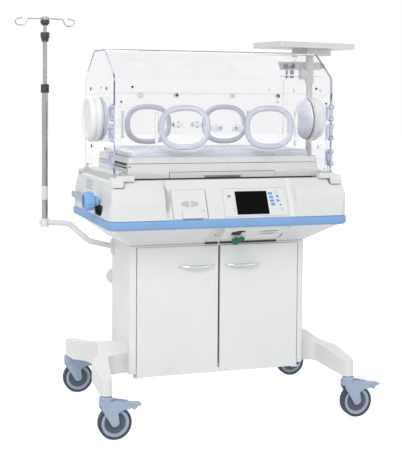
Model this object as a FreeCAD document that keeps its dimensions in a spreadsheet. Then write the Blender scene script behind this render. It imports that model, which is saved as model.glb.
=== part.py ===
import FreeCAD, Part
import math
import os
import Sketcher

# Infant incubator on a cabinet trolley.
# The origin is on the floor under the middle of the trolley: X to the operator's right, Y to the back, Z up.
# Driving sizes, in millimetres and degrees.
DRIVING = {
    # castors and legs
    "castor_x": 494, "castor_y": 328, "wheel_radius": 62.5, "wheel_half_width": 15, "castor_trail": 33,
    "axle_radius": 4, "fork_radius": 25, "fork_top": 162, "fork_tall": 34, "fork_arm_inside": 19,
    "fork_arm_thick": 5, "stem_radius": 8, "stem_long": 45, "pedal_pin_x": 32, "pedal_pin_up": 8,
    "pedal_pin_radius": 3, "pedal_half_width": 16, "pedal_reach": 132,
    "boss_radius": 19, "boss_clear": 3, "boss_tall": 62, "leg_rise": 20, "leg_root_half": 112,
    "leg_shoulder_up": 35, "leg_arch": 58, "leg_hollow_half": 176, "leg_waist": 39, "leg_knee": 56, "leg_knee_round": 40,
    # cabinet
    "cabinet_half": 345, "cabinet_front": -160, "cabinet_back": 200, "cabinet_low": 192, "cabinet_tall": 498,
    "cabinet_wall": 16, "column_proud": 20, "column_front": -175, "column_deep": 45, "column_round": 14,
    "door_drop": 13, "door_gap": 7, "door_thick": 18, "door_proud": 4, "door_inset": 9.4, "door_round": 4,
    "door_inner": 4, "door_pin_in": 4.6, "door_pin_back": 5, "door_pin_radius": 3, "door_pin_long": 12,
    "handle_x": 96, "handle_down": 78, "handle_half": 77, "handle_reach": 25, "handle_tall": 10,
    "handle_thick": 7, "handle_foot": 13, "cleat_up": 318, "cleat_radius": 32,
    # base
    "pan_foot_half": 367, "pan_foot_front": -170, "pan_foot_back": 200, "pan_tall": 80, "pan_wall": 30,
    "bay_left": -70, "bay_right": 240, "bay_back": -190, "module_step_x": -25, "module_step": 40,
    "catch_x": 42, "catch_drop": 58, "catch_half": 25, "catch_half_tall": 7.5, "catch_lean": 27,
    "bumper_half": 488, "bumper_y": 336, "bumper_wall": 14, "bumper_tall": 36, "bumper_round": 45,
    "shell_inset_x": 5, "shell_inset_y": 3, "shell_tall": 144, "shell_lean_x": 16, "shell_lean_y": 63,
    "recess_left": -268, "recess_right": 262, "recess_back": 6, "recess_lean": 25.5, "recess_round": 26,
    "panel_left": -30, "panel_right": 235, "panel_up": 5, "panel_tall": 104, "panel_thick": 2,
    "screen_left": 21, "screen_right": 152, "screen_up": 12, "screen_tall": 85, "screen_thick": 1.5,
    "drawer_left": -235, "drawer_right": -100, "drawer_up": 2, "drawer_tall": 104, "drawer_back": -125,
    "drawer_wall": 3, "drawer_plate": 3,
    "knob_y": -140, "knob_up": 60, "knob_radius": 39, "knob_reach": 57, "knob_shaft": 6, "knob_shaft_long": 60,
    "hand_y": -130, "hand_half": 73, "hand_up": 3, "hand_tall": 43, "hand_round": 36, "hand_deep": 24,
    "rail_up": 36, "rail_tall": 23, "rail_thick": 10, "rail_front": -50, "rail_back": 325, "rail_sunk": 3,
    # deck, tray and mattress
    "deck_inset": 58.6, "deck_y": 235, "deck_tall": 61, "deck_rim": 20, "well_deep": 19,
    "deck_foot_tall": 6, "deck_foot_deep": 10, "seam_x": 8, "seam_wide": 3,
    "xray_left": -225, "xray_right": 207, "xray_tall": 22, "xray_back": 185,
    "tilt_in": 6, "tilt_up": 8, "trunnion_radius": 4, "tilt_frame_clear": 10.3, "tilt_frame_thick": 8,
    "tray_clear": 2, "tray_tall": 23, "tray_inset": 3, "tray_wall": 6, "tray_floor": 17, "tray_round": 12,
    "mattress_thick": 32, "mattress_clear": 2, "mattress_round": 10,
    # hood
    "hood_half": 448.6, "hood_y": 245.8, "hood_up": 22, "hood_wall_tall": 372.6, "hood_roof_tall": 105.8,
    "hood_top_y": 90, "hood_wall": 6, "panel_margin": 18.6, "panel_foot_up": 13, "panel_high_long": 300,
    "panel_hinge_drop": 1, "hinge_barrel": 2.9, "hinge_pin": 2, "panel_lap": 8, "panel_corner": 60,
    "port_x": 173, "port_up": 165, "port_half_wide": 104, "port_half_tall": 86, "cuff_wide": 22, "cuff_thick": 12,
    "port_door_thick": 5, "port_hinge_out": 112, "port_hinge_half": 50, "port_hinge_radius": 4,
    "iris_up": 206, "iris_radius": 91, "iris_hole": 72, "iris_reach": 50, "grommet_deep": 38.8,
    "block_reach": 19.4, "block_lip": 14, "block_drop": 22,
    # drip pole and shelf
    "pole_x": -627, "pole_y": 200, "arm_radius": 11.5, "arm_foot": 641, "arm_top": 755, "pole_radius": 12.5,
    "pole_tall": 520, "pole_collar_lap": 6, "pole_collar_tall": 36, "pole_collar_radius": 17,
    "middle_radius": 9, "middle_low": 960, "middle_tall": 565, "middle_collar_tall": 35,
    "top_radius": 7.5, "top_low": 1120, "top_tall": 470, "cap_tall": 18, "cap_radius": 15,
    "hook_reach": 122, "hook_wire": 2.5,
    "post_out": 106.4, "post_y": 205, "post_radius": 13.5, "post_collar_low": 1425,
    "post_collar_radius": 17, "shelf_top": 1506, "shelf_thick": 24, "shelf_wide": 410, "shelf_deep": 217,
    "shelf_shift": 28, "shelf_turn": 14.9, "shelf_box_tall": 30, "clamp_drop": 37, "clamp_left": 142,
    "clamp_right": 58, "clamp_slant": 12, "clamp_housing_tall": 28, "clamp_foot_tall": 30,
    # fits
    "running": 0.05, "sliding": 0.08, "gap": 0.3, "slide_gap": 0.5,
}

doc = FreeCAD.newDocument("infant_incubator")
sheet = doc.addObject("Spreadsheet::Sheet", "Sizes")
nodes = []


class Size:
    """A length or angle that keeps the sheet formula beside its number."""

    def __init__(self, formula, number):
        self.formula = formula
        self.number = number

    def __add__(self, other):
        return Size(f"({self.formula} + {formula(other)})", self.number + number(other))

    def __sub__(self, other):
        return Size(f"({self.formula} - {formula(other)})", self.number - number(other))

    def __mul__(self, other):
        return Size(f"({self.formula} * {formula(other)})", self.number * number(other))

    def __truediv__(self, other):
        return Size(f"({self.formula} / {formula(other)})", self.number / number(other))

    def __radd__(self, other):
        return Size(f"({formula(other)} + {self.formula})", number(other) + self.number)

    def __rsub__(self, other):
        return Size(f"({formula(other)} - {self.formula})", number(other) - self.number)

    def __rmul__(self, other):
        return self * other

    def __neg__(self):
        return Size(f"(0 - {self.formula})", -self.number)


def number(value):
    return value.number if isinstance(value, Size) else float(value)


def formula(value):
    return value.formula if isinstance(value, Size) else f"({float(value)!r})"


def sine(angle):
    return Size(f"sin({angle.formula})", math.sin(math.radians(angle.number)))


def cosine(angle):
    return Size(f"cos({angle.formula})", math.cos(math.radians(angle.number)))


class Sizes:
    """The driving sizes by name."""


size = Sizes()
for row, (word, amount) in enumerate(DRIVING.items(), start=1):
    sheet.set(f"A{row}", word)
    sheet.set(f"B{row}", str(amount))
    sheet.setAlias(f"B{row}", word)
    setattr(size, word, Size(f"Sizes.{word}", float(amount)))
doc.recompute()

# Sizes that follow from others: heights stack up from the floor, and each piece keeps its place on its carrier
size.fork_underside = size.fork_top - size.fork_tall
size.pedal_pin_z = size.fork_underside + size.pedal_pin_up
size.boss_low = size.fork_top + size.boss_clear
size.boss_high = size.boss_low + size.boss_tall
size.leg_low = size.boss_low + size.leg_rise
size.leg_shoulder = size.boss_high + size.leg_shoulder_up
size.leg_high = size.boss_high + size.leg_arch
size.leg_waist_x = size.castor_x - size.leg_waist
size.leg_knee_x = size.castor_x - size.leg_knee

size.cabinet_top = size.cabinet_low + size.cabinet_tall
size.column_half = size.cabinet_half + size.column_proud
size.column_back = size.column_front + size.column_deep
size.door_low = size.cabinet_low - size.door_drop
size.door_high = size.cabinet_top - size.door_gap
size.door_front = size.column_front - size.door_proud
size.door_outer = size.cabinet_half - size.door_inset
size.door_pin_x = size.door_outer - size.door_pin_in
size.door_pin_y = size.door_front + size.door_pin_back
size.handle_z = size.door_high - size.handle_down

size.pan_top = size.cabinet_top + size.pan_tall
size.pan_top_half = size.bumper_half - size.bumper_wall - 4
size.pan_top_y = size.bumper_y - size.bumper_wall - 2
size.bumper_top = size.pan_top + size.bumper_tall
size.shell_half = size.bumper_half - size.shell_inset_x
size.shell_y = size.bumper_y - size.shell_inset_y
size.shell_top = size.bumper_top + size.shell_tall
size.shell_top_half = size.shell_half - size.shell_lean_x
size.shell_top_front = size.shell_lean_y - size.shell_y
size.recess_foot = size.recess_back - size.shell_y
size.panel_low = size.bumper_top + size.panel_up
size.panel_high = size.panel_low + size.panel_tall
size.screen_low = size.bumper_top + size.screen_up
size.screen_high = size.screen_low + size.screen_tall
size.drawer_low = size.bumper_top + size.drawer_up
size.drawer_high = size.drawer_low + size.drawer_tall
size.knob_z = size.bumper_top + size.knob_up
size.knob_outer = size.shell_half + size.knob_reach
size.rail_low = size.bumper_top + size.rail_up
size.rail_high = size.rail_low + size.rail_tall
size.rail_x = size.shell_half - size.rail_sunk

size.deck_half = size.hood_half - size.deck_inset
size.deck_top = size.shell_top + size.deck_tall
size.well_y = size.deck_y - size.deck_rim
size.well_floor = size.deck_top - size.well_deep
size.xray_low = size.shell_top + size.deck_foot_tall
size.xray_high = size.xray_low + size.xray_tall
size.tilt_x = size.deck_half - size.tilt_in
size.tilt_z = size.well_floor + size.tilt_up
size.tilt_frame_y = size.well_y - size.tilt_frame_clear
size.tray_low = size.deck_top + size.tray_clear
size.tray_high = size.tray_low + size.tray_tall
size.tray_y = size.deck_y - size.tray_inset
size.mattress_low = size.tray_low + size.tray_floor
size.mattress_high = size.mattress_low + size.mattress_thick

size.hood_low = size.shell_top + size.hood_up
size.hood_shoulder = size.hood_low + size.hood_wall_tall
size.hood_top = size.hood_shoulder + size.hood_roof_tall
size.panel_half = size.hood_half - size.panel_margin
size.panel_foot = size.hood_low + size.panel_foot_up
size.panel_head = size.panel_foot + size.panel_high_long
size.panel_hinge_z = size.panel_foot - size.panel_hinge_drop
size.port_z = size.panel_foot + size.port_up
size.iris_z = size.hood_low + size.iris_up
size.grommet_y = size.grommet_deep - size.hood_y

size.pole_low = size.arm_top + 10
size.pole_joint = size.pole_low + size.pole_tall
size.pole_collar_low = size.pole_joint - size.pole_collar_lap
size.pole_collar_high = size.pole_collar_low + size.pole_collar_tall
size.middle_collar_high = size.middle_low + size.middle_tall
size.middle_collar_low = size.middle_collar_high - size.middle_collar_tall
size.cap_high = size.top_low + size.top_tall
size.cap_low = size.cap_high - size.cap_tall
size.post_x = size.hood_half + size.post_out
size.shelf_box_low = size.shelf_top - size.shelf_thick - size.shelf_box_tall
size.post_collar_high = size.shelf_box_low - size.gap

UPRIGHT = FreeCAD.Rotation()
TURN = {
    "x": FreeCAD.Rotation(FreeCAD.Vector(0, 1, 0), 90),
    "y": FreeCAD.Rotation(FreeCAD.Vector(1, 0, 0), -90),
    "z": UPRIGHT,
}


# Helpers that bind a feature to the sheet


def place(piece, x, y, z):
    piece.setExpression("Placement.Base.x", formula(x))
    piece.setExpression("Placement.Base.y", formula(y))
    piece.setExpression("Placement.Base.z", formula(z))
    return piece


def block(name, x, y, z):
    """A box between two limits along each axis."""
    piece = doc.addObject("Part::Box", name)
    for side, (low, high) in {"Length": x, "Width": y, "Height": z}.items():
        piece.setExpression(side, formula(high - low))
    return place(piece, x[0], y[0], z[0])


def rod(name, axis, start, end, radius, at):
    """A round bar along an axis, from start to end, at the two other coordinates."""
    piece = doc.addObject("Part::Cylinder", name)
    piece.Placement = FreeCAD.Placement(FreeCAD.Vector(), TURN[axis])
    piece.setExpression("Radius", formula(radius))
    piece.setExpression("Height", formula(end - start))
    spot = {"x": (start, at[0], at[1]), "y": (at[0], start, at[1]), "z": (at[0], at[1], start)}[axis]
    return place(piece, *spot)


def join(name, pieces):
    piece = doc.addObject("Part::MultiFuse", name)
    piece.Shapes = pieces
    piece.Refine = True
    return piece


def common(name, pieces):
    piece = doc.addObject("Part::MultiCommon", name)
    piece.Shapes = pieces
    piece.Refine = True
    return piece


def cut(name, base, tools):
    piece = doc.addObject("Part::Cut", name)
    piece.Base = base
    piece.Tool = tools[0] if len(tools) == 1 else join(name + "_tools", tools)
    piece.Refine = True
    return piece


def group(name, pieces):
    """Separate solids that share one node."""
    piece = doc.addObject("Part::Compound", name)
    piece.Links = pieces
    return piece


def rounded(name, base, radius, chosen):
    """The base with the chosen edges rounded."""
    doc.recompute()
    piece = doc.addObject("Part::Fillet", name)
    piece.Base = base
    amount = number(radius)
    piece.Edges = [(count, amount, amount) for count, edge in enumerate(base.Shape.Edges, 1) if chosen(edge)]
    return piece


def node(piece, label):
    piece.Label = label
    nodes.append(piece)
    return piece


def fix(sketch, kind, geometry, point, amount):
    """Ties one coordinate of a sketch point to the sheet."""
    place_in = sketch.addConstraint(Sketcher.Constraint(kind, -1, 1, geometry, point, number(amount)))
    sketch.setExpression(f"Constraints[{place_in}]", formula(amount))


def draw(sketch, corners, closed=True):
    """Straight runs between corners. A corner is (x, y) or (x, y, radius) where it is rounded."""
    spots = [FreeCAD.Vector(number(corner[0]), number(corner[1]), 0) for corner in corners]
    count = len(corners)
    first, last = (0, count) if closed else (1, count - 1)
    arrive, leave = list(spots), list(spots)
    arcs = {}
    for i in range(first, last):
        if len(corners[i]) < 3:
            continue
        back = (spots[i - 1] - spots[i]).normalize()
        ahead = (spots[(i + 1) % count] - spots[i]).normalize()
        half = back.getAngle(ahead) / 2
        radius = number(corners[i][2])
        arrive[i] = spots[i] + back * (radius / math.tan(half))
        leave[i] = spots[i] + ahead * (radius / math.tan(half))
        middle = spots[i] + (back + ahead).normalize() * (radius / math.sin(half))
        leftward = (back.cross(ahead)).z < 0
        ends = (arrive[i], leave[i]) if leftward else (leave[i], arrive[i])
        angles = [math.atan2(end.y - middle.y, end.x - middle.x) for end in ends]
        if angles[1] < angles[0]:
            angles[1] += 2 * math.pi
        circle = Part.Circle(middle, FreeCAD.Vector(0, 0, 1), radius)
        arcs[i] = (sketch.addGeometry(Part.ArcOfCircle(circle, *angles)), leftward)
    runs = count if closed else count - 1
    lines = [sketch.addGeometry(Part.LineSegment(leave[i], arrive[(i + 1) % count])) for i in range(runs)]
    for i in range(count):
        before = lines[i - 1] if closed or i > 0 else None
        after = lines[i] if i < runs else None
        if i in arcs:
            arc, leftward = arcs[i]
            start, end = (1, 2) if leftward else (2, 1)
            sketch.addConstraint(Sketcher.Constraint("Tangent", before, 2, arc, start))
            sketch.addConstraint(Sketcher.Constraint("Tangent", arc, end, after, 1))
            turn = sketch.addConstraint(Sketcher.Constraint("Radius", arc, number(corners[i][2])))
            sketch.setExpression(f"Constraints[{turn}]", formula(corners[i][2]))
            spot = sketch.addGeometry(Part.Point(spots[i]), True)
            sketch.addConstraint(Sketcher.Constraint("PointOnObject", spot, 1, before))
            sketch.addConstraint(Sketcher.Constraint("PointOnObject", spot, 1, after))
            fix(sketch, "DistanceX", spot, 1, corners[i][0])
            fix(sketch, "DistanceY", spot, 1, corners[i][1])
            continue
        if before is not None and after is not None:
            sketch.addConstraint(Sketcher.Constraint("Coincident", before, 2, after, 1))
        line, end = (after, 1) if after is not None else (before, 2)
        fix(sketch, "DistanceX", line, end, corners[i][0])
        fix(sketch, "DistanceY", line, end, corners[i][1])


def sketch_on(body, name, plane, offset, outlines, closed=True):
    """A sketch on one of the body's own planes, moved along that plane's normal."""
    sketch = body.newObject("Sketcher::SketchObject", name)
    support = [item for item in body.Origin.OriginFeatures if item.Role == plane][0]
    sketch.AttachmentSupport = [(support, "")]
    sketch.MapMode = "FlatFace"
    sketch.setExpression("AttachmentOffset.Base.z", formula(offset))
    for outline in outlines:
        draw(sketch, outline, closed)
    return sketch


def extrude(name, plane, outlines, low, high):
    """A body padded from an outline, between two limits along the plane's world axis."""
    body = doc.addObject("PartDesign::Body", name)
    offset = -high if plane == "XZ_Plane" else low
    sketch = sketch_on(body, name + "_outline", plane, offset, outlines)
    pad = body.newObject("PartDesign::Pad", name + "_pad")
    pad.Profile = sketch
    pad.setExpression("Length", formula(high - low))
    return body


def lathe(name, profile, axis, at):
    """A body turned from a profile of (radius, height along the axis)."""
    body = doc.addObject("PartDesign::Body", name)
    sketch = sketch_on(body, name + "_profile", "XZ_Plane", 0, [profile])
    turned = body.newObject("PartDesign::Revolution", name + "_turned")
    turned.Profile = sketch
    turned.ReferenceAxis = (sketch, ["V_Axis"])
    turned.Angle = 360
    body.Placement = FreeCAD.Placement(FreeCAD.Vector(), TURN[axis])
    return place(body, *at)


def pipe(name, route, radius, y):
    """A round bar bent along a route of (x, z) points in the plane at y."""
    body = doc.addObject("PartDesign::Body", name)
    path = sketch_on(body, name + "_route", "XZ_Plane", -y, [route], closed=False)
    section = sketch_on(body, name + "_section", "YZ_Plane", route[0][0], [])
    centre = FreeCAD.Vector(number(y), number(route[0][1]), 0)
    ring = section.addGeometry(Part.Circle(centre, FreeCAD.Vector(0, 0, 1), number(radius)))
    across = section.addConstraint(Sketcher.Constraint("Radius", ring, number(radius)))
    section.setExpression(f"Constraints[{across}]", formula(radius))
    fix(section, "DistanceX", ring, 3, y)
    fix(section, "DistanceY", ring, 3, route[0][1])
    swept = body.newObject("PartDesign::AdditivePipe", name + "_swept")
    swept.Profile = section
    swept.Spine = (path, [f"Edge{i + 1}" for i in range(2 * len(route) - 3)])
    swept.Transition = "Right corner"
    return body


def frame_of(x, y, corner):
    """A rectangle with equal rounded corners, between two limits each way."""
    return [(x[0], y[0], corner), (x[1], y[0], corner), (x[1], y[1], corner), (x[0], y[1], corner)]


def along(axis, low=None, high=None):
    """Chooses straight edges that run along an axis and lie between two heights."""
    way = {"x": FreeCAD.Vector(1, 0, 0), "y": FreeCAD.Vector(0, 1, 0), "z": FreeCAD.Vector(0, 0, 1)}[axis]

    def chosen(edge):
        if edge.Curve.TypeId != "Part::GeomLine":
            return False
        run = edge.Vertexes[-1].Point - edge.Vertexes[0].Point
        height = edge.CenterOfMass.z
        inside = (low is None or height > low) and (high is None or height < high)
        return abs(run.normalize().dot(way)) > 0.999 and inside
    return chosen


# Castors: a pressed fork with its stem, a wheel with a bonded tread, and a brake pedal on a cross pin


def castor(corner, x, y):
    axle_x = x + size.castor_trail
    axle = (axle_x, size.wheel_radius)
    inside = size.fork_arm_inside
    outside = inside + size.fork_arm_thick
    pin = (x + size.pedal_pin_x, size.pedal_pin_z)
    name = "castor_" + corner

    under, top, radius = size.fork_underside, size.fork_top, size.fork_radius
    head_profile = [(0, under), (radius, under), (radius, top - 19), (radius - 2, top - 18),
                    (radius - 2, top - 16), (radius, top - 15), (radius, top, 6), (0, top)]
    head = lathe(name + "_head", head_profile, "z", (x, y, 0))
    stem = rod(name + "_stem", "z", top, top + size.stem_long, size.stem_radius, (x, y))
    arm_shape = [
        (x - 21, top - 14), (x - 21, under - 8, 8),
        (axle_x - 10, size.wheel_radius - 14, 10), (axle_x + 14, size.wheel_radius - 3, 11),
        (x + 42, under - 28, 6), (x + 60, under - 17, 10), (x + 90, under - 15, 3), (x + 91, under + 6, 5),
        (pin[0] + 8, pin[1] + 9, 6),
    ]
    arms = [extrude(name + "_arm", "XZ_Plane", [arm_shape], y + low, y + high)
            for low, high in ((-outside, -inside), (inside, outside))]
    spindle = rod(name + "_axle", "y", y - outside - 2, y + outside + 2, size.axle_radius, axle)
    caps = [rod(name + "_cap", "y", y + low, y + high, size.axle_radius + 3, axle)
            for low, high in ((-outside - 2, -outside), (outside, outside + 2))]
    cross_pin = rod(name + "_pin", "y", y - outside, y + outside, size.pedal_pin_radius, pin)
    node(join(name + "_fork_solid", [head, stem, *arms, spindle, *caps, cross_pin]), name + "_fork")

    bore = size.axle_radius + size.running
    hub = size.fork_arm_inside - 2
    face = size.wheel_half_width
    rim = size.wheel_radius
    profile = [
        (bore, -hub), (bore + 9, -hub), (bore + 9, -hub + 8), (rim - 24, -hub + 8), (rim - 22, -face + 2),
        (rim - 11, -face + 1), (rim - 10, -face), (rim, -face, 8), (rim, face, 8), (rim - 10, face),
        (rim - 11, face - 1), (rim - 22, face - 2), (rim - 24, hub - 8), (bore + 9, hub - 8),
        (bore + 9, hub), (bore, hub),
    ]
    node(lathe(name + "_wheel_solid", profile, "y", (axle[0], y, axle[1])), name + "_wheel")

    half = size.pedal_half_width
    toe, pin_z = x + size.pedal_reach, size.pedal_pin_z
    blade_shape = [
        (pin[0], pin_z + 4), (toe, pin_z - 8), (toe, pin_z - 14), (toe - 14, pin_z - 18, 2),
        (toe - 24, pin_z - 29, 2), (toe - 30, pin_z - 29, 2), (toe - 37, pin_z - 21, 4),
        (toe - 72, pin_z - 11, 20), (pin[0] + 4, pin_z - 5),
    ]
    blade = extrude(name + "_blade", "XZ_Plane", [blade_shape], y - half, y + half)
    barrel_half = inside - size.gap
    barrel = rod(name + "_barrel", "y", y - barrel_half, y + barrel_half, size.pedal_pin_radius + 3.5, pin)
    eye = rod(name + "_eye", "y", y - inside, y + inside, size.pedal_pin_radius + size.running, pin)
    pedal = cut(name + "_pedal_solid", join(name + "_pedal_body", [blade, barrel]), [eye])
    node(pedal, name + "_pedal")


# Leg frames: cast arms that run out from the cabinet side and curve to the two castor bosses


def leg_frame(word, side):
    waist = size.leg_waist_x
    tip = size.castor_y + size.boss_radius
    outer = size.castor_x + size.boss_radius
    inner = size.castor_x - size.boss_radius
    root = size.leg_root_half
    plan = [
        (side * size.cabinet_half, -root), (side * size.leg_knee_x, -root - 10, 40),
        (side * inner, -tip, size.boss_radius - 1), (side * outer, -tip, size.boss_radius - 1),
        (side * outer, tip, size.boss_radius - 1), (side * inner, tip, size.boss_radius - 1),
        (side * size.leg_knee_x, root + 10, 40), (side * size.cabinet_half, root),
    ]
    heights = [
        (-tip - 3, size.boss_low), (-tip + 45, size.boss_low, 20), (-root, size.leg_low), (root, size.leg_low),
        (tip - 45, size.boss_low, 20), (tip + 3, size.boss_low), (tip + 3, size.boss_high),
        (root, size.leg_shoulder, 200), (0, size.leg_high, 150), (-root, size.leg_shoulder, 200),
        (-tip - 3, size.boss_high),
    ]
    from_above = extrude(word + "_plan", "XY_Plane", [plan], size.boss_low, size.leg_high)
    if side > 0:
        reach = (size.cabinet_half, outer + 1)
    else:
        reach = (-outer - 1, -size.cabinet_half)
    from_side = extrude(word + "_heights", "YZ_Plane", [heights], *reach)
    casting = common(word + "_casting", [from_above, from_side])
    dip = outer - waist
    half = size.leg_hollow_half
    sweep = (half * half + dip * dip) / (2 * dip)
    hollow = rod(word + "_hollow", "z", size.boss_low - 5, size.leg_high + 5, sweep, (side * (waist + sweep), 0))
    bores = [rod(word + "_bore", "z", size.boss_low - 1, size.fork_top + size.stem_long + 2,
                 size.stem_radius + size.running, (side * size.castor_x, y))
             for y in (-size.castor_y, size.castor_y)]
    node(cut(word + "_solid", casting, [hollow, *bores]), word)


# Cabinet: bent steel carcass with rounded corner columns, pivot pins for the doors, and a cord cleat behind


def cabinet():
    half = size.cabinet_half
    column = size.column_half
    front = size.column_front
    inner = half - size.cabinet_wall
    mouth = size.door_outer + 3
    back = size.cabinet_back
    plan = [
        (-mouth, front), (-mouth, size.cabinet_front), (-inner, size.cabinet_front),
        (-inner, back - size.cabinet_wall), (inner, back - size.cabinet_wall), (inner, size.cabinet_front),
        (mouth, size.cabinet_front), (mouth, front), (column, front, 14), (column, size.column_back, 14),
        (half, size.column_back), (half, back, 12), (-half, back, 12), (-half, size.column_back),
        (-column, size.column_back, 14), (-column, front, 14),
    ]
    walls = extrude("cabinet_walls", "XY_Plane", [plan], size.cabinet_low, size.cabinet_top)
    wall = size.cabinet_wall
    floor = block("cabinet_floor", (-inner, inner), (size.cabinet_front, back - wall),
                  (size.cabinet_low, size.cabinet_low + wall))
    roof = block("cabinet_roof", (-inner, inner), (size.cabinet_front, back - wall),
                 (size.cabinet_top - wall, size.cabinet_top))
    lip = block("cabinet_lip", (-mouth, mouth), (front, size.cabinet_front), (size.door_high + 1, size.cabinet_top))
    pieces = [walls, floor, roof, lip]
    for side in (-1, 1):
        pin_at = (side * size.door_pin_x, size.door_pin_y)
        plate_x = (-half, -half + 32) if side < 0 else (half - 32, half)
        low_plate = size.door_low - size.gap
        pieces.append(rod("upper_pivot", "z", size.door_high - size.door_pin_long, size.door_high + 2,
                          size.door_pin_radius, pin_at))
        pieces.append(rod("lower_pivot", "z", low_plate - 1, size.door_low + size.door_pin_long,
                          size.door_pin_radius, pin_at))
        pieces.append(block("pivot_plate", plate_x, (size.door_front, size.cabinet_front + 8),
                            (low_plate - 3, low_plate)))
        pieces.append(block("pivot_web", plate_x, (size.cabinet_front, size.cabinet_front + 8),
                            (low_plate - 3, size.cabinet_low)))
    cleat = (15 - half, size.cabinet_low + size.cleat_up)
    pieces.append(rod("cleat_stem", "y", back - 1, back + 26, size.cleat_radius - 20, cleat))
    pieces.append(rod("cleat_disc", "y", back + 20, back + 30, size.cleat_radius, cleat))
    node(join("cabinet_shell_solid", pieces), "cabinet_shell")


def cabinet_door(word, side):
    near, far = side * size.door_inner, side * size.door_outer
    x = (near, far) if side > 0 else (far, near)
    y = (size.door_front, size.door_front + size.door_thick)
    slab = block(word + "_slab", x, y, (size.door_low, size.door_high))
    eased = rounded(word + "_eased", slab, size.door_round, along("z"))
    at = (side * size.door_pin_x, size.door_pin_y)
    hole = size.door_pin_radius + size.running
    depth = size.door_pin_long + 1
    bores = [rod(word + "_bore", "z", size.door_low - 1, size.door_low + depth, hole, at),
             rod(word + "_bore", "z", size.door_high - depth, size.door_high + 1, hole, at)]
    node(cut(word + "_solid", eased, bores), word)


def door_handle(word, side):
    centre = side * size.handle_x
    half, reach = size.handle_half, size.handle_reach
    z = (size.handle_z - size.handle_tall / 2, size.handle_z + size.handle_tall / 2)
    face = size.door_front
    outer = (half * half + reach * reach) / (2 * reach)
    inner_half, inner_reach = half - size.handle_foot, reach - size.handle_thick
    inner = (inner_half * inner_half + inner_reach * inner_reach) / (2 * inner_reach)
    disc = rod(word + "_outer", "z", z[0], z[1], outer, (centre, face - reach + outer))
    hollow = rod(word + "_inner", "z", z[0] - 1, z[1] + 1, inner, (centre, face - inner_reach + inner))
    before_door = block(word + "_side", (centre - half, centre + half), (face - reach, face), z)
    bow = cut(word + "_bow", common(word + "_disc", [disc, before_door]), [hollow])
    node(bow, word)


# Base: tapered pan, bumper, and the moulded upper shell with its controls


def lower_pan():
    body = doc.addObject("PartDesign::Body", "lower_pan_loft")
    foot = frame_of((-size.pan_foot_half, size.pan_foot_half), (size.pan_foot_front, size.pan_foot_back), 24)
    top = frame_of((-size.pan_top_half, size.pan_top_half), (-size.pan_top_y, size.pan_top_y), 40)
    foot_sketch = sketch_on(body, "pan_foot", "XY_Plane", size.cabinet_top, [foot])
    top_sketch = sketch_on(body, "pan_rim", "XY_Plane", size.pan_top, [top])
    loft = body.newObject("PartDesign::AdditiveLoft", "pan_taper")
    loft.Profile = foot_sketch
    loft.Sections = [top_sketch]
    loft.Ruled = True
    inner_half = size.bumper_half - size.bumper_wall
    inner_y = size.bumper_y - size.bumper_wall
    plug = extrude("pan_plug", "XY_Plane", [frame_of((-inner_half, inner_half), (-inner_y, inner_y),
                   size.bumper_round - size.bumper_wall)], size.pan_top, size.pan_top + 18)
    bay = block("controller_bay", (size.bay_left, size.bay_right), (-size.pan_top_y - 1, size.bay_back),
                (size.cabinet_top - 1, size.pan_top - 2))
    room = block("pan_room", (size.pan_wall - size.pan_foot_half, size.pan_foot_half - size.pan_wall),
                 (size.pan_foot_front + size.pan_wall, size.pan_foot_back - size.pan_wall),
                 (size.cabinet_top + 12, size.pan_top + 19))
    node(cut("lower_pan_solid", join("pan_body", [body, plug]), [bay, room]), "lower_pan")


def controller_module():
    left, right = size.bay_left + 4, size.bay_right - 4
    low, high = size.pan_top - 54, size.pan_top - 2
    side_shape = [(size.bay_back, low), (size.bay_back, high), (-size.pan_top_y + 8, high),
                  (-size.pan_top_y + 14, high - 14, 4), (-size.pan_top_y + 75, low)]
    housing = extrude("controller_housing", "YZ_Plane", [side_shape], left, right)
    front, back = -size.pan_top_y - 1, size.module_step - size.pan_top_y
    step_shape = [(front, low - 1), (back + 75, low - 1), (back + 75, low), (back + 14, high - 14, 4),
                  (back + 8, high + 1), (front, high + 1)]
    step = extrude("controller_step", "YZ_Plane", [step_shape], left - 1, size.module_step_x)
    slot = block("card_slot", (24, 62), (-size.pan_top_y - 1, -size.pan_top_y + 60), (high - 27, high - 13))
    vents = [block("controller_vent", (134, 200), (-size.pan_top_y - 1, -size.pan_top_y + 42), (z, z + 3))
             for z in (high - 30, high - 20)]
    node(cut("controller_solid", housing, [slot, step, *vents]), "controller_module")
    centre_x, centre_z = size.catch_x, size.pan_top - size.catch_drop
    spine = block("release_stem", (centre_x - 8, centre_x + 8), (-size.pan_top_y + 48, -size.pan_top_y + 96),
                  (low - 14, low))
    run, climb = cosine(size.catch_lean), sine(size.catch_lean)
    half, tall = size.catch_half, size.catch_half_tall
    leaning = [(centre_x + a * run - b * climb, centre_z + a * climb + b * run, tall - 0.5)
               for a, b in ((-half, -tall), (half, -tall), (half, tall), (-half, tall))]
    grip = extrude("release_grip", "XZ_Plane", [leaning], -size.pan_top_y + 36, -size.pan_top_y + 50)
    node(join("release_solid", [spine, grip]), "release_catch")


def bumper():
    outer = frame_of((-size.bumper_half, size.bumper_half), (-size.bumper_y, size.bumper_y), size.bumper_round)
    half, deep = size.bumper_half - size.bumper_wall, size.bumper_y - size.bumper_wall
    inner = frame_of((-half, half), (-deep, deep), size.bumper_round - size.bumper_wall)
    ring = extrude("bumper_ring", "XY_Plane", [outer, inner], size.pan_top, size.bumper_top)
    edge = number(size.bumper_half) - 1
    deep_edge = number(size.bumper_y) - 1

    def outside(item):
        box = item.BoundBox
        flat = box.ZLength < 0.01
        far = max(abs(box.XMax), abs(box.XMin)) > edge or max(abs(box.YMax), abs(box.YMin)) > deep_edge
        return flat and far
    ring = rounded("bumper_solid", ring, size.bumper_wall - 2, outside)
    node(ring, "bumper")


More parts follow.
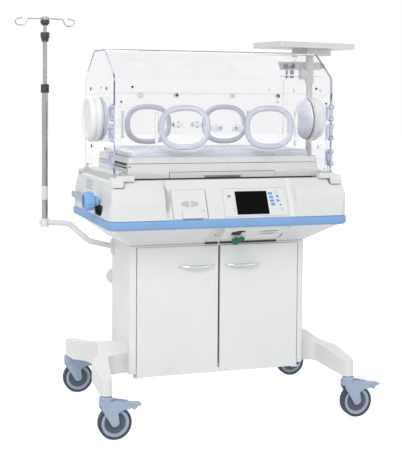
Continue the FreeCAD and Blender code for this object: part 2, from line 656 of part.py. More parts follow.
def slope(up, out=0):
    """A (y, z) point on the leaning front recess: up along it, and out from its face."""
    y = size.recess_foot + up * sine(size.recess_lean) - out * cosine(size.recess_lean)
    z = size.bumper_top + up * cosine(size.recess_lean) + out * sine(size.recess_lean)
    return y, z


def rise(height):
    """How far along the leaning recess a height lies."""
    return (height - size.bumper_top) / cosine(size.recess_lean)


def on_slope(name, x, up, out):
    """A plate on the leaning recess, between limits along X, up the slope and out from it."""
    corners = [slope(up[0], out[0]), slope(up[1], out[0]), slope(up[1], out[1]), slope(up[0], out[1])]
    return extrude(name, "YZ_Plane", [corners], x[0], x[1])


def upper_shell():
    half, deep = size.shell_half, size.shell_y
    low, top = size.bumper_top, size.shell_top
    plan = frame_of((-half, half), (-deep, deep), size.bumper_round - 4)
    from_above = extrude("shell_plan", "XY_Plane", [plan], low, top)
    side_shape = [(-deep, low), (-deep + 9, low + 92, 90), (size.shell_top_front, top, 12),
                  (-size.shell_top_front, top, 12), (deep - 9, low + 92, 90), (deep, low)]
    from_side = extrude("shell_side", "YZ_Plane", [side_shape], -half - 1, half + 1)
    top_half = size.shell_top_half
    front_shape = [(-half, low), (half, low), (top_half, top, 16), (-top_half, top, 16)]
    from_front = extrude("shell_front", "XZ_Plane", [front_shape], -deep - 1, deep + 1)
    body = common("shell_body", [from_above, from_side, from_front])

    skirt_half, skirt_y = size.bumper_half - size.bumper_wall, size.bumper_y - size.bumper_wall
    skirt = extrude("shell_skirt", "XY_Plane", [frame_of((-skirt_half, skirt_half), (-skirt_y, skirt_y),
                    size.bumper_round - size.bumper_wall)], size.pan_top + 18, low)

    ahead = -deep - 60
    up_top = slope(rise(top + 60))
    tool_shape = [(ahead, low), slope(0), up_top, (ahead, up_top[1])]
    tool = extrude("recess_tool", "YZ_Plane", [tool_shape], size.recess_left, size.recess_right)
    lean = math.tan(math.radians(number(size.recess_lean)))

    def up_the_face(item):
        middle, box = item.CenterOfMass, item.BoundBox
        on_face = abs(middle.y - number(size.recess_foot) - (middle.z - number(low)) * lean) < 0.1
        return on_face and box.XLength < 0.1
    tool = rounded("recess_soft", tool, size.recess_round, up_the_face)

    cavity = block("drawer_cavity", (size.drawer_left + 3, size.drawer_right - 3), (ahead, size.drawer_back + 15),
                   (size.drawer_low + 4, size.drawer_high - 6))
    room = block("shell_room", (size.drawer_right + 8, half - size.knob_shaft_long - 28),
                 (-deep + 95, deep - 95), (size.pan_top + 17, top - 20))
    tools = [tool, cavity, room]
    hand_low, hand_high = low + size.hand_up, low + size.hand_up + size.hand_tall
    near, far = size.hand_y - size.hand_half, size.hand_y + size.hand_half
    half_moon = [(near, hand_low, size.hand_round), (far, hand_low, size.hand_round), (far, hand_high, 5),
                 (near, hand_high, 5)]
    for side in (-1, 1):
        shaft_in = side * (half - size.knob_shaft_long - 10)
        shaft_out = side * (half + 5)
        x = (shaft_in, shaft_out) if side > 0 else (shaft_out, shaft_in)
        tools.append(rod("knob_bore", "x", x[0], x[1], size.knob_shaft + size.running, (size.knob_y, size.knob_z)))
        hand = (side * (half - size.hand_deep), side * (half + 5))
        x = hand if side > 0 else (hand[1], hand[0])
        tools.append(extrude("hand_hollow", "YZ_Plane", [half_moon], x[0], x[1]))
    node(cut("upper_shell_solid", join("shell_with_skirt", [body, skirt]), tools), "upper_shell")


def controls():
    thick = size.panel_thick
    plate = on_slope("panel_plate", (size.panel_left, size.panel_right),
                     (rise(size.panel_low), rise(size.panel_high)), (0, thick))
    node(plate, "control_panel")
    screen = on_slope("screen_glass", (size.screen_left, size.screen_right),
                      (rise(size.screen_low), rise(size.screen_high)), (thick, thick + size.screen_thick))
    node(screen, "display_screen")
    keys = []
    foot = size.bumper_top
    places = [(161 + 2 * step, 173 + 2 * step, 83 - 13.6 * step, 92 - 13.6 * step) for step in range(4)]
    places += [(190, 203, 70, 80), (190, 203, 55, 65), (185, 196, 86, 95), (200, 211, 40, 49), (202, 215, 22, 32)]
    for left, right, low, high in places:
        keys.append(on_slope("soft_key", (left, right), (rise(foot + low), rise(foot + high)), (thick, thick + 1)))
    node(group("keypad_keys", keys), "keypad")


def humidity_drawer():
    left, right = size.drawer_left, size.drawer_right
    plate = on_slope("drawer_plate", (left, right), (rise(size.drawer_low), rise(size.drawer_high)),
                     (size.gap, size.gap + size.drawer_plate))
    tab = on_slope("drawer_tab", (left + 35, right - 20), (rise(size.drawer_low), rise(size.drawer_low + 31)),
                   (size.gap + size.drawer_plate, size.gap + 2 * size.drawer_plate))
    low, high = size.drawer_low + 5, size.drawer_high - 10
    trough_x = (left + 5, right - 5)
    wall = size.drawer_wall
    inside_x = (trough_x[0] + wall, trough_x[1] - wall)
    behind = [(size.drawer_back, low), slope(rise(low), size.gap), slope(rise(high), size.gap),
              (size.drawer_back, high)]
    trough = extrude("drawer_trough", "YZ_Plane", [behind], trough_x[0], trough_x[1])
    water = block("drawer_water", inside_x, (size.recess_foot + 60, size.drawer_back - wall), (low + wall, high + 1))
    node(cut("drawer_solid", join("drawer_body", [plate, tab, trough]), [water]), "humidity_drawer")


def tilt_knob(word, side):
    half = size.shell_half
    neck = size.knob_outer - half
    radius = size.knob_radius
    inward = 6
    profile = [
        (0, -size.knob_shaft_long), (size.knob_shaft, -size.knob_shaft_long), (size.knob_shaft, 1), (20, 1),
        (20, 14), (radius - 4, 20, 6), (radius, neck - 12, 20), (radius - 5, neck, 6), (radius - 12, neck),
        (radius - 14, neck - inward), (0, neck - inward),
    ]
    turned = lathe(word + "_turned", profile, "z", (0, 0, 0))
    flutes = []
    for step in range(8):
        angle = math.radians(45 * step + 22.5)
        at = (math.cos(angle) * (radius + 7), math.sin(angle) * (radius + 7))
        flutes.append(rod(word + "_flute", "z", 14, neck + 1, size.knob_radius / 3.5, at))
    lobed = cut(word + "_lobed", turned, flutes)
    lobed.Placement = FreeCAD.Placement(FreeCAD.Vector(), FreeCAD.Rotation(FreeCAD.Vector(0, 1, 0), 90 * side))
    place(lobed, side * half, size.knob_y, size.knob_z)
    node(lobed, word)


def accessory_rails():
    rails = []
    for side in (-1, 1):
        near, far = side * size.rail_x, side * (size.rail_x + size.rail_thick)
        x = (near, far) if side > 0 else (far, near)
        bar = block("rail_bar", x, (size.rail_front, size.rail_back), (size.rail_low, size.rail_high))
        foot_x = (side * (size.rail_x - 6), near)
        foot_x = foot_x if side > 0 else (foot_x[1], foot_x[0])
        feet = [block("rail_foot", foot_x, (y - 8, y + 8), (size.rail_low + 4, size.rail_high - 4))
                for y in (size.rail_front + 30, size.rail_back - 88, size.rail_back - 25)]
        rails.append(join("rail_on_feet", [bar, *feet]))
    node(group("rails_pair", rails), "accessory_rails")


# Deck: the moulded bed base with its side rims, the cassette drawer, and the frame that tilts the tray


def main_deck():
    half, deep = size.deck_half, size.deck_y
    slab = block("deck_slab", (-half, half), (-deep, deep), (size.shell_top, size.deck_top))
    seats = [block("hood_seat", x, (-size.hood_y - 4, size.hood_y + 4), (size.shell_top, size.hood_low - size.gap))
             for x in ((-size.hood_half - 4, -half), (half, size.hood_half + 4))]
    well = block("deck_well", (-half - 1, half + 1), (-size.well_y, size.well_y),
                 (size.well_floor, size.deck_top + 1))
    slide = size.slide_gap
    cassette = block("cassette_way", (size.xray_left + 3 - slide, size.xray_right - 3 + slide),
                     (-deep - 1, size.xray_back + 8), (size.xray_low + 2 - slide, size.xray_high - 4 + slide))
    front = block("front_step", (size.xray_left - slide, size.xray_right + slide), (-deep - 1, -deep + 6),
                  (size.xray_low - slide, size.xray_high + slide))
    bores = [rod("trunnion_bore", "y", low, high, size.trunnion_radius + size.running, (-size.tilt_x, size.tilt_z))
             for low, high in ((-deep - 1, -size.well_y + 1), (size.well_y - 1, deep + 1))]
    feet = [block("deck_foot_gap", (-half, half), y, (size.shell_top, size.shell_top + size.deck_foot_tall))
            for y in ((-deep, size.deck_foot_deep - deep), (deep - size.deck_foot_deep, deep))]
    seam = block("deck_seam", (size.seam_x, size.seam_x + size.seam_wide), (-deep - 1, size.seam_wide - deep),
                 (size.xray_high + 1, size.deck_top + 1))
    ribs = [block("frame_rest", (x, x + 20), (-size.tilt_frame_y + 10, size.tilt_frame_y - 10),
                  (size.well_floor, size.tilt_z - size.tilt_frame_thick / 2 - size.gap)) for x in (-220, 200)]
    body = join("deck_body", [slab, *seats])
    shaped = cut("deck_shaped", body, [well, cassette, front, seam, *feet, *bores])
    node(join("deck_solid", [shaped, *ribs]), "main_deck")


def xray_drawer():
    front = block("cassette_front", (size.xray_left, size.xray_right), (-size.deck_y - 3, -size.deck_y + 5),
                  (size.xray_low, size.xray_high))
    low, high = size.xray_low + 2, size.xray_high - 4
    tray = block("cassette_tray", (size.xray_left + 3, size.xray_right - 3), (-size.deck_y + 5, size.xray_back),
                 (low, high))
    inside = block("cassette_room", (size.xray_left + 7, size.xray_right - 7),
                   (-size.deck_y + 12, size.xray_back - 4), (low + 3, high + 1))
    grip = block("cassette_grip", (-87, 68), (-size.deck_y - 4, -size.deck_y + 3),
                 (size.xray_low - 1, size.xray_low + 9))
    node(cut("cassette_solid", join("cassette_body", [front, tray]), [inside, grip]), "xray_drawer")


def tilt_frame():
    half, deep = size.tilt_x, size.tilt_frame_y
    low = size.tilt_z - size.tilt_frame_thick / 2
    high = low + size.tilt_frame_thick
    plate = block("frame_plate", (-half, half), (-deep, deep), (low, high))
    windows = [block("frame_window", x, (-deep + 34, deep - 34), (low - 1, high + 1))
               for x in ((-half + 34, -17), (17, half - 34))]
    open_frame = cut("frame_open", plate, windows)
    fixed_pin = rod("frame_trunnion", "y", -size.well_y - 12, size.well_y + 12, size.trunnion_radius,
                    (-half, size.tilt_z))
    tray_pin = rod("tray_trunnion", "y", -deep - 7, deep + 7, size.trunnion_radius, (half, size.tilt_z))
    node(join("frame_solid", [open_frame, fixed_pin, tray_pin]), "tilt_frame")


def mattress_tray():
    half, deep = size.deck_half, size.tray_y
    slab = block("tray_slab", (-half, half), (-deep, deep), (size.tray_low, size.tray_high))
    eased = rounded("tray_eased", slab, size.tray_round, along("z"))
    basin = block("tray_basin", (-half + size.tray_wall, half - size.tray_wall),
                  (-deep + size.tray_wall, deep - size.tray_wall), (size.mattress_low - size.gap, size.tray_high + 1))
    frame_top = size.tilt_z + size.tilt_frame_thick / 2
    runners = [block("tray_runner", (-half + 60, half - 60), (y - 6, y + 6), (frame_top + size.gap, size.tray_low))
               for y in (-188, 188)]
    ears = []
    for low, high in ((-size.tilt_frame_y - 6, -size.tilt_frame_y - size.gap),
                      (size.tilt_frame_y + size.gap, size.tilt_frame_y + 6)):
        ears.append(block("tray_ear", (size.tilt_x - 5.5, half), (low, high), (size.tilt_z - 6.5, size.tray_low)))
    eyes = rod("tray_eye", "y", -size.tilt_frame_y - 8, size.tilt_frame_y + 8,
               size.trunnion_radius + size.running, (size.tilt_x, size.tilt_z))
    hung = cut("tray_ears", join("tray_ear_pair", ears), [eyes])
    shell = cut("tray_shell", eased, [basin])
    node(join("tray_solid", [shell, *runners, hung]), "mattress_tray")


def mattress():
    wall = size.tray_wall + size.mattress_clear
    pad = block("mattress_block", (-size.deck_half + wall, size.deck_half - wall),
                (-size.tray_y + wall, size.tray_y - wall), (size.mattress_low, size.mattress_high))
    node(rounded("mattress_solid", pad, size.mattress_round, along("z")), "mattress")


# Hood: one clear moulded shell with a fold-down panel front and back, four hand ports and two sleeve ports


def hood_outline(trim):
    rise_over_run = (size.hood_top - size.hood_shoulder) / (size.hood_y - size.hood_top_y)
    slant = Size(f"sqrt(1 + {rise_over_run.formula}^2)", math.sqrt(1 + rise_over_run.number ** 2))
    wall_y = size.hood_y - trim
    shoulder = size.hood_shoulder + trim * rise_over_run - trim * slant
    top = size.hood_top - trim
    top_y = wall_y - (top - shoulder) / rise_over_run
    return wall_y, shoulder, top_y, top


def tube_heights():
    """How high the three tube slots sit on each end wall."""
    return [size.hood_low + up for up in (234, 157, 55)]


def hood():
    low = size.hood_low
    wall_y, shoulder, top_y, top = hood_outline(0 * size.gap)
    outline = [(-wall_y, low), (wall_y, low), (wall_y, shoulder, 30), (top_y, top, 40), (-top_y, top, 40),
               (-wall_y, shoulder, 30)]
    outer = extrude("hood_outer", "YZ_Plane", [outline], -size.hood_half, size.hood_half)
    wall_y, shoulder, top_y, top = hood_outline(size.hood_wall)
    outline = [(-wall_y, low - 1), (wall_y, low - 1), (wall_y, shoulder, 24), (top_y, top, 34), (-top_y, top, 34),
               (-wall_y, shoulder, 24)]
    end = size.hood_half - size.hood_wall
    inner = extrude("hood_inner", "YZ_Plane", [outline], -end, end)
    mouth = size.panel_half - size.panel_lap
    opening = [(-mouth, low - 1), (mouth, low - 1), (mouth, size.panel_head - size.panel_lap, size.panel_corner - 8),
               (-mouth, size.panel_head - size.panel_lap, size.panel_corner - 8)]
    tools = [inner, extrude("panel_openings", "XZ_Plane", [opening], -size.hood_y - 1, size.hood_y + 1)]
    tools.append(rod("sleeve_openings", "x", -size.hood_half - 1, size.hood_half + 1, size.iris_hole,
                     (0, size.iris_z)))
    for z in tube_heights():
        tools.append(block("tube_notches", (-size.hood_half - 1, size.hood_half + 1),
                           (-size.hood_y - 1, size.grommet_y + 2), (z - 18, z + 18)))
    node(cut("hood_solid", outer, tools), "hood")


def tube_grommets():
    seals = []
    for side in (-1, 1):
        for z in tube_heights():
            wall = (size.hood_half - size.hood_wall, size.hood_half)
            lip = (size.hood_half, size.hood_half + 5)
            front = -size.hood_y
            plug_outline = [(front, z + 17.7), (front, z + 10), (size.grommet_y - 12, z + 10, 9),
                            (size.grommet_y - 12, z - 10, 9), (front, z - 10), (front, z - 17.7),
                            (size.grommet_y + 1.7, z - 17.7), (size.grommet_y + 1.7, z + 17.7)]
            lip_outline = [(front, z + 30, 8), (front, z + 10), (size.grommet_y - 12, z + 10, 9),
                           (size.grommet_y - 12, z - 10, 9), (front, z - 10), (front, z - 30, 8),
                           (size.grommet_y + 9, z - 30, 20), (size.grommet_y + 9, z + 30, 20)]
            pieces = []
            for outline, (near, far) in ((plug_outline, wall), (lip_outline, lip)):
                x = (near, far) if side > 0 else (-far, -near)
                pieces.append(extrude("grommet_part", "YZ_Plane", [outline], *x))
            seals.append(join("grommet", pieces))
    node(group("grommet_set", seals), "tube_grommets")


def oval(x, z, half_wide, half_tall, corner):
    return [(x - half_wide, z - half_tall, corner), (x + half_wide, z - half_tall, corner),
            (x + half_wide, z + half_tall, corner), (x - half_wide, z + half_tall, corner)]


def port_hole(x):
    return oval(x, size.port_z, size.port_half_wide - size.cuff_wide, size.port_half_tall - size.cuff_wide,
                size.port_half_tall - size.cuff_wide - 4)


def outward(side, near, far):
    """Limits along Y, given as distances out from the hood's wall, in front or behind."""
    if side < 0:
        return -size.hood_y - far, -size.hood_y - near
    return size.hood_y + near, size.hood_y + far


def access_panel(word, side):
    panel_face = size.gap + size.hood_wall
    y = outward(side, size.gap, panel_face)
    half, head = size.panel_half, size.panel_head
    outline = [(-half, size.panel_foot), (half, size.panel_foot), (half, head, size.panel_corner),
               (-half, head, size.panel_corner)]
    plate = extrude(word + "_plate", "XZ_Plane", [outline, port_hole(-size.port_x), port_hole(size.port_x)], *y)
    axis_y = side * (size.hood_y + size.gap + size.hood_wall / 2)
    barrel = rod(word + "_barrel", "x", -half, half, size.hinge_barrel, (axis_y, size.panel_hinge_z))
    eyes = [rod(word + "_eye", "x", low, high, size.hinge_pin + size.running, (axis_y, size.panel_hinge_z))
            for low, high in ((-half - 1, -half + 17), (half - 17, half + 1))]
    node(cut(word + "_solid", join(word + "_body", [plate, barrel]), eyes), word)


def port_cuffs(word, side):
    near = size.gap + size.hood_wall
    y = outward(side, near, near + size.cuff_thick)
    cuffs = []
    for x in (-size.port_x, size.port_x):
        outer = oval(x, size.port_z, size.port_half_wide, size.port_half_tall, size.port_half_tall - 6)
        cuffs.append(extrude(word + "_ring", "XZ_Plane", [outer, port_hole(x)], *y))
    node(group(word + "_pair", cuffs), word)


def port_fittings(word, side):
    """Hinge posts beside each port, latch blocks between the ports, and the panel's two head latches."""
    near = size.gap + size.hood_wall
    pieces = []
    for hand in (-1, 1):
        centre = hand * size.port_x
        post_x = centre + hand * size.port_hinge_out
        post_y = side * (size.hood_y + near + 10)
        low, high = size.port_z - size.port_hinge_half, size.port_z + size.port_hinge_half
        post = rod(word + "_post", "z", low, high, size.port_hinge_radius, (post_x, post_y))
        feet = [block(word + "_foot", (post_x - 6, post_x + 6), outward(side, near, near + 16), z)
                for z in ((low - 8, low), (high, high + 8))]
        pieces.append(join(word + "_hinge", [post, *feet]))
        latch_out = centre - hand * (size.port_half_wide + 4)
        latch_in = latch_out - hand * 44
        x = (latch_out, latch_in) if hand < 0 else (latch_in, latch_out)
        base = block(word + "_latch", x, outward(side, near, near + 12), (size.port_z - 12, size.port_z + 8))
        mid = (latch_out + latch_in) / 2
        y = outward(side, near + 11, near + 17)
        knob = rod(word + "_knob", "y", y[0], y[1], 7, (mid, size.port_z - 2))
        pieces.append(join(word + "_catch", [base, knob]))
        y = outward(side, near, near + 10)
        pieces.append(rod(word + "_head_latch", "y", y[0], y[1], 8, (hand * 208, size.panel_head - 12)))
    node(group(word + "_set", pieces), word)


def port_door(word, side, hand):
    near = size.gap + size.hood_wall + size.cuff_thick + size.gap
    y = outward(side, near, near + size.port_door_thick)
    centre = hand * size.port_x
    plate = extrude(word + "_plate", "XZ_Plane",
                    [oval(centre, size.port_z, size.port_half_wide - 6, size.port_half_tall - 6,
                          size.port_half_tall - 12)], *y)
    post_x = centre + hand * size.port_hinge_out
    post_y = side * (size.hood_y + size.gap + size.hood_wall + 10)
    half = size.port_hinge_half - 1
    barrel = rod(word + "_barrel", "z", size.port_z - half, size.port_z + half, size.port_hinge_radius + 3,
                 (post_x, post_y))
    arm_inner = centre + hand * (size.port_half_wide - 16)
    x = (post_x, arm_inner) if hand < 0 else (arm_inner, post_x)
    arm = block(word + "_arm", x, y, (size.port_z - 20, size.port_z + 20))
    eye = rod(word + "_eye", "z", size.port_z - half - 1, size.port_z + half + 1,
              size.port_hinge_radius + size.running, (post_x, post_y))
    node(cut(word + "_solid", join(word + "_body", [plate, barrel, arm]), [eye]), word)


def iris_ports():
    rings = []
    wall = size.hood_half
    hole = size.iris_hole
    for side in (-1, 1):
        flange_profile = [(hole, 0), (size.iris_radius - 4, 0), (size.iris_radius - 4, 8), (hole + 6, 8), (hole + 6, 14),
                          (hole, 14)]
        flange = lathe("iris_flange", flange_profile, "z", (0, 0, 0))
        turn = FreeCAD.Rotation(FreeCAD.Vector(0, 1, 0), 90 * side)
        flange.Placement = FreeCAD.Placement(FreeCAD.Vector(), turn)
        place(flange, side * wall, 0, size.iris_z)
        rings.append(flange)
        word = "iris_ring_left" if side < 0 else "iris_ring_right"
        inner = hole + 6 + size.running
        outer = size.iris_radius
        reach = size.iris_reach
        ring_profile = [
            (inner, 8 + size.gap), (outer, 8 + size.gap), (outer, 18, 3), (outer - 4, 20), (outer - 4, 26),
            (outer, 28, 3), (outer, 36, 3), (outer - 8, reach, 6), (outer - 20, reach, 3), (outer - 24, reach - 6),
            (0, reach - 6), (0, reach - 9), (outer - 22, reach - 9), (inner, reach - 16),
        ]
        ring = lathe(word + "_turned", ring_profile, "z", (0, 0, 0))
        ring.Placement = FreeCAD.Placement(FreeCAD.Vector(), turn)
        place(ring, side * wall, 0, size.iris_z)
        node(ring, word)
    node(group("iris_flange_pair", rings), "iris_flanges")


def hood_blocks():
    """Corner blocks that carry the hood, and the ears with the panel hinge pins."""
    pieces = []
    for hand in (-1, 1):
        for side in (-1, 1):
            bar_x = (size.deck_half - 12, size.hood_half - 4)
            foot_x = (size.hood_half - 26, size.hood_half + size.block_reach)
            near, far = size.hood_y + 8, size.hood_y + 40
            bar_y = (-far, -near) if side < 0 else (near, far)
            bar_z = (size.shell_top, size.hood_low - 2)
            bar = block("block_bar", bar_x if hand > 0 else (-bar_x[1], -bar_x[0]), bar_y, bar_z)
            lip_y, lip_z = far + size.block_lip, size.shell_top - size.block_drop
            edge = -size.shell_top_front + 2.5
            over_edge = [(near, size.shell_top), (near, size.hood_low - 8), (far, size.hood_low - 8, 8),
                         (lip_y, size.shell_top - 5, 8), (lip_y, lip_z), (lip_y - 5.5, lip_z),
                         (edge, size.shell_top)]
            over_edge = [(side * corner[0], *corner[1:]) for corner in over_edge]
            foot = extrude("block_foot", "YZ_Plane", [over_edge],
                           *(foot_x if hand > 0 else (-foot_x[1], -foot_x[0])))
            pieces.append(join("corner_block", [bar, foot]))
            axis_y = side * (size.hood_y + size.gap + size.hood_wall / 2)
            ear_x = (size.panel_half + 1, size.panel_half + 9)
            pin_x = (size.panel_half - 15, size.panel_half + 2)
            ear_y = (-size.hood_y - 8, -size.hood_y) if side < 0 else (size.hood_y, size.hood_y + 8)
            ear = block("hinge_ear", ear_x if hand > 0 else (-ear_x[1], -ear_x[0]), ear_y,
                        (size.hood_low, size.panel_hinge_z + 5))
            pin_ends = pin_x if hand > 0 else (-pin_x[1], -pin_x[0])
            pin = rod("hinge_pin", "x", pin_ends[0], pin_ends[1], size.hinge_pin, (axis_y, size.panel_hinge_z))
            pieces.append(join("ear_with_pin", [ear, pin]))
    node(group("hood_block_set", pieces), "hood_blocks")


# Drip pole on its bent arm: two tubes that slide one in the other, clamped by their collars


def iv_arm():
    start = size.pole_x - 21
    route = [(start, size.arm_top - 2), (size.pole_x + 101, size.arm_top - 14, 60), (-size.cabinet_half - 97, size.arm_foot + 24, 60),
             (-size.cabinet_half - 2, size.arm_foot)]
    arm = pipe("iv_arm_tube", route, size.arm_radius, size.pole_y)
    socket = rod("iv_arm_socket", "z", size.pole_low - 34, size.pole_low, size.pole_radius + 4,
                 (size.pole_x, size.pole_y))
    plate = block("iv_arm_plate", (-size.cabinet_half - 6, -size.cabinet_half), (size.pole_y - 40, size.pole_y),
                  (size.arm_foot - 31, size.arm_foot + 31))
    node(join("iv_arm_solid", [arm, socket, plate]), "iv_arm")


def iv_pole():
    at = (size.pole_x, size.pole_y, 0)
    sliding = size.middle_radius + size.sliding
    lower = [(sliding, size.pole_low + 6), (sliding, size.pole_joint), (size.pole_radius, size.pole_joint),
             (size.pole_radius, size.pole_low), (0, size.pole_low), (0, size.pole_low + 6)]
    node(lathe("iv_lower_solid", lower, "z", at), "iv_lower_tube")
    grip = size.pole_collar_radius
    collar = [(sliding, size.pole_joint), (size.pole_radius, size.pole_joint),
              (size.pole_radius, size.pole_collar_low), (grip, size.pole_collar_low, 3),
              (grip, size.pole_collar_high, 4), (sliding, size.pole_collar_high)]
    node(lathe("iv_lower_collar_solid", collar, "z", at), "iv_lower_collar")

    inner = size.top_radius + size.sliding
    middle = [(inner, size.middle_low), (size.middle_radius, size.middle_low),
              (size.middle_radius, size.middle_collar_low), (grip - 3, size.middle_collar_low, 2),
              (grip - 3, size.middle_collar_high - 8), (grip + 1, size.middle_collar_high - 6, 1),
              (grip + 1, size.middle_collar_high), (inner, size.middle_collar_high)]
    node(lathe("iv_middle_solid", middle, "z", at), "iv_middle_tube")

    rounding = (size.cap_high - size.cap_low) / 3
    top = [(0, size.top_low), (size.top_radius, size.top_low), (size.top_radius, size.cap_low),
           (size.cap_radius, size.cap_low, 2), (size.cap_radius, size.cap_high, rounding), (0, size.cap_high)]
    stick = lathe("iv_top_stick", top, "z", at)
    hooks = []
    for hand in (-1, 1):
        x = size.pole_x
        reach = size.hook_reach
        z = size.cap_low
        route = [(x + hand * 4, z + 9), (x + hand * (reach - 50), z + 8, 12), (x + hand * (reach - 36), z - 20, 12),
                 (x + hand * (reach - 4), z - 18, 12), (x + hand * reach, z + 4, 9),
                 (x + hand * (reach - 30), z + 11)]
        hooks.append(pipe("iv_hook", route, size.hook_wire, size.pole_y))
    node(join("iv_top_solid", [stick, *hooks]), "iv_top_hooks")


# Monitor shelf on its own post at the right, with the clamp bar behind the hood


def shelf_post():
    at = (size.post_x, size.post_y)
    start = size.post_x + 21
    route = [(start, size.arm_top - 2), (size.post_x - 65, size.arm_top - 14, 60),
             (size.cabinet_half + 79, size.arm_foot + 24, 60), (size.cabinet_half + 2, size.arm_foot)]
    arm = pipe("shelf_arm_tube", route, size.arm_radius, size.post_y - 5)
    seat = size.arm_top + 7
    socket = rod("shelf_arm_socket", "z", seat - 32, seat, size.post_radius + 4, at)
    plate = block("shelf_arm_plate", (size.cabinet_half, size.cabinet_half + 6),
                  (size.post_y - 45, size.post_y - 5), (size.arm_foot - 31, size.arm_foot + 31))
    post = rod("shelf_post_bar", "z", seat, size.shelf_top - size.shelf_thick - 4, size.post_radius, at)
    low, high = size.post_collar_low, size.post_collar_high
    collar = rod("shelf_post_collar", "z", low, high, size.post_collar_radius, at)
    node(join("shelf_post_solid", [arm, socket, plate, post, collar]), "shelf_post")


def clamp_bar():
    at = (size.post_x, size.post_y)
    low, high = size.post_collar_low - size.clamp_drop, size.post_collar_low - size.gap
    ring = rod("clamp_ring", "z", low, high, size.post_radius + 6, at)
    left, right = size.post_x - size.clamp_left, size.post_x + size.clamp_right
    beam_shape = [(left + size.clamp_slant, low + 1), (right, low + 1), (right, high - 1), (left, high - 1)]
    bar = extrude("clamp_beam", "XZ_Plane", [beam_shape], size.post_y + 12, size.post_y + 32)
    knobs = [rod("clamp_knob", "y", size.post_y - 2, size.post_y + 13, 9, (x, low + 16))
             for x in (left + 18, left + 57)]
    knobs.append(rod("end_knob", "x", right - 1, right + 12, 9, (size.post_y + 22, (low + high) / 2)))
    housing_low = low - size.clamp_housing_tall
    foot_low = housing_low - size.clamp_foot_tall
    housing = block("clamp_housing", (size.post_x - 39, size.post_x + 15), (size.post_y - 8, size.post_y + 30),
                    (housing_low, low + 1))
    foot = rod("clamp_foot", "z", foot_low, housing_low + 1, size.post_radius + 6, at)
    plate = block("clamp_plate", (size.post_x - 34, size.post_x + 22), (size.post_y - 12, size.post_y + 26),
                  (housing_low - 9, housing_low - 6))
    hole = rod("clamp_hole", "z", foot_low - 1, high + 1, size.post_radius, at)
    whole = join("clamp_body", [ring, bar, housing, foot, plate, *knobs])
    node(cut("clamp_solid", whole, [hole]), "clamp_bar")


def monitor_shelf():
    thick = size.shelf_thick
    under = size.shelf_top - thick
    x = (-size.shelf_wide / 2 - size.shelf_shift, size.shelf_wide / 2 - size.shelf_shift)
    y = (-size.shelf_deep / 2 + 8, size.shelf_deep / 2 + 8)
    plate = extrude("shelf_plate", "XY_Plane", [frame_of(x, y, 14)], under, size.shelf_top)
    box = block("shelf_box", (-58, 72), (-55, 55), (size.shelf_box_low, under))
    bore = rod("shelf_bore", "z", size.shelf_box_low - 1, under - 4 + size.gap,
               size.post_radius + size.running, (0, 0))
    shelf = cut("shelf_solid", join("shelf_body", [plate, box]), [bore])
    shelf.Placement = FreeCAD.Placement(FreeCAD.Vector(), FreeCAD.Rotation(FreeCAD.Vector(0, 0, 1),
                                        number(size.shelf_turn)))
    place(shelf, size.post_x, size.post_y, 0)
    shelf.setExpression("Placement.Rotation.Angle", size.shelf_turn.formula)
    node(shelf, "monitor_shelf")


for corner, x_side, y_side in (("front_left", -1, -1), ("front_right", 1, -1), ("rear_left", -1, 1),
                               ("rear_right", 1, 1)):
    castor(corner, x_side * size.castor_x, y_side * size.castor_y)
leg_frame("leg_frame_left", -1)
leg_frame("leg_frame_right", 1)
cabinet()
cabinet_door("cabinet_door_left", -1)
cabinet_door("cabinet_door_right", 1)
door_handle("door_handle_left", -1)
door_handle("door_handle_right", 1)
lower_pan()
controller_module()
bumper()
upper_shell()
controls()
humidity_drawer()
tilt_knob("tilt_knob_left", -1)
tilt_knob("tilt_knob_right", 1)
accessory_rails()
main_deck()
xray_drawer()
tilt_frame()
mattress_tray()
mattress()
hood()
tube_grommets()
access_panel("front_access_panel", -1)
access_panel("rear_access_panel", 1)
port_cuffs("front_port_cuffs", -1)
port_cuffs("rear_port_cuffs", 1)
port_fittings("front_port_fittings", -1)
port_fittings("rear_port_fittings", 1)
for place_word, depth_side in (("front", -1), ("rear", 1)):
    for hand_word, hand_side in (("left", -1), ("right", 1)):
        port_door(f"{place_word}_port_door_{hand_word}", depth_side, hand_side)
iris_ports()
hood_blocks()
iv_arm()
iv_pole()
shelf_post()
clamp_bar()
monitor_shelf()

doc.recompute()
for item in doc.Objects:
    if "Invalid" in item.State or "Error" in item.State:
        raise SystemExit(f"{item.Name} failed: {item.State}")
for piece in nodes:
    if piece.Shape.isNull() or not piece.Shape.isValid():
        raise SystemExit(f"{piece.Label} has no valid shape")
os.makedirs("parts", exist_ok=True)
for piece in nodes:
    piece.Shape.exportStep(f"parts/{piece.Label}.step")
print(len(nodes), "sub-parts written")
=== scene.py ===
import math

import bmesh
import bpy
from mathutils import Matrix, Vector


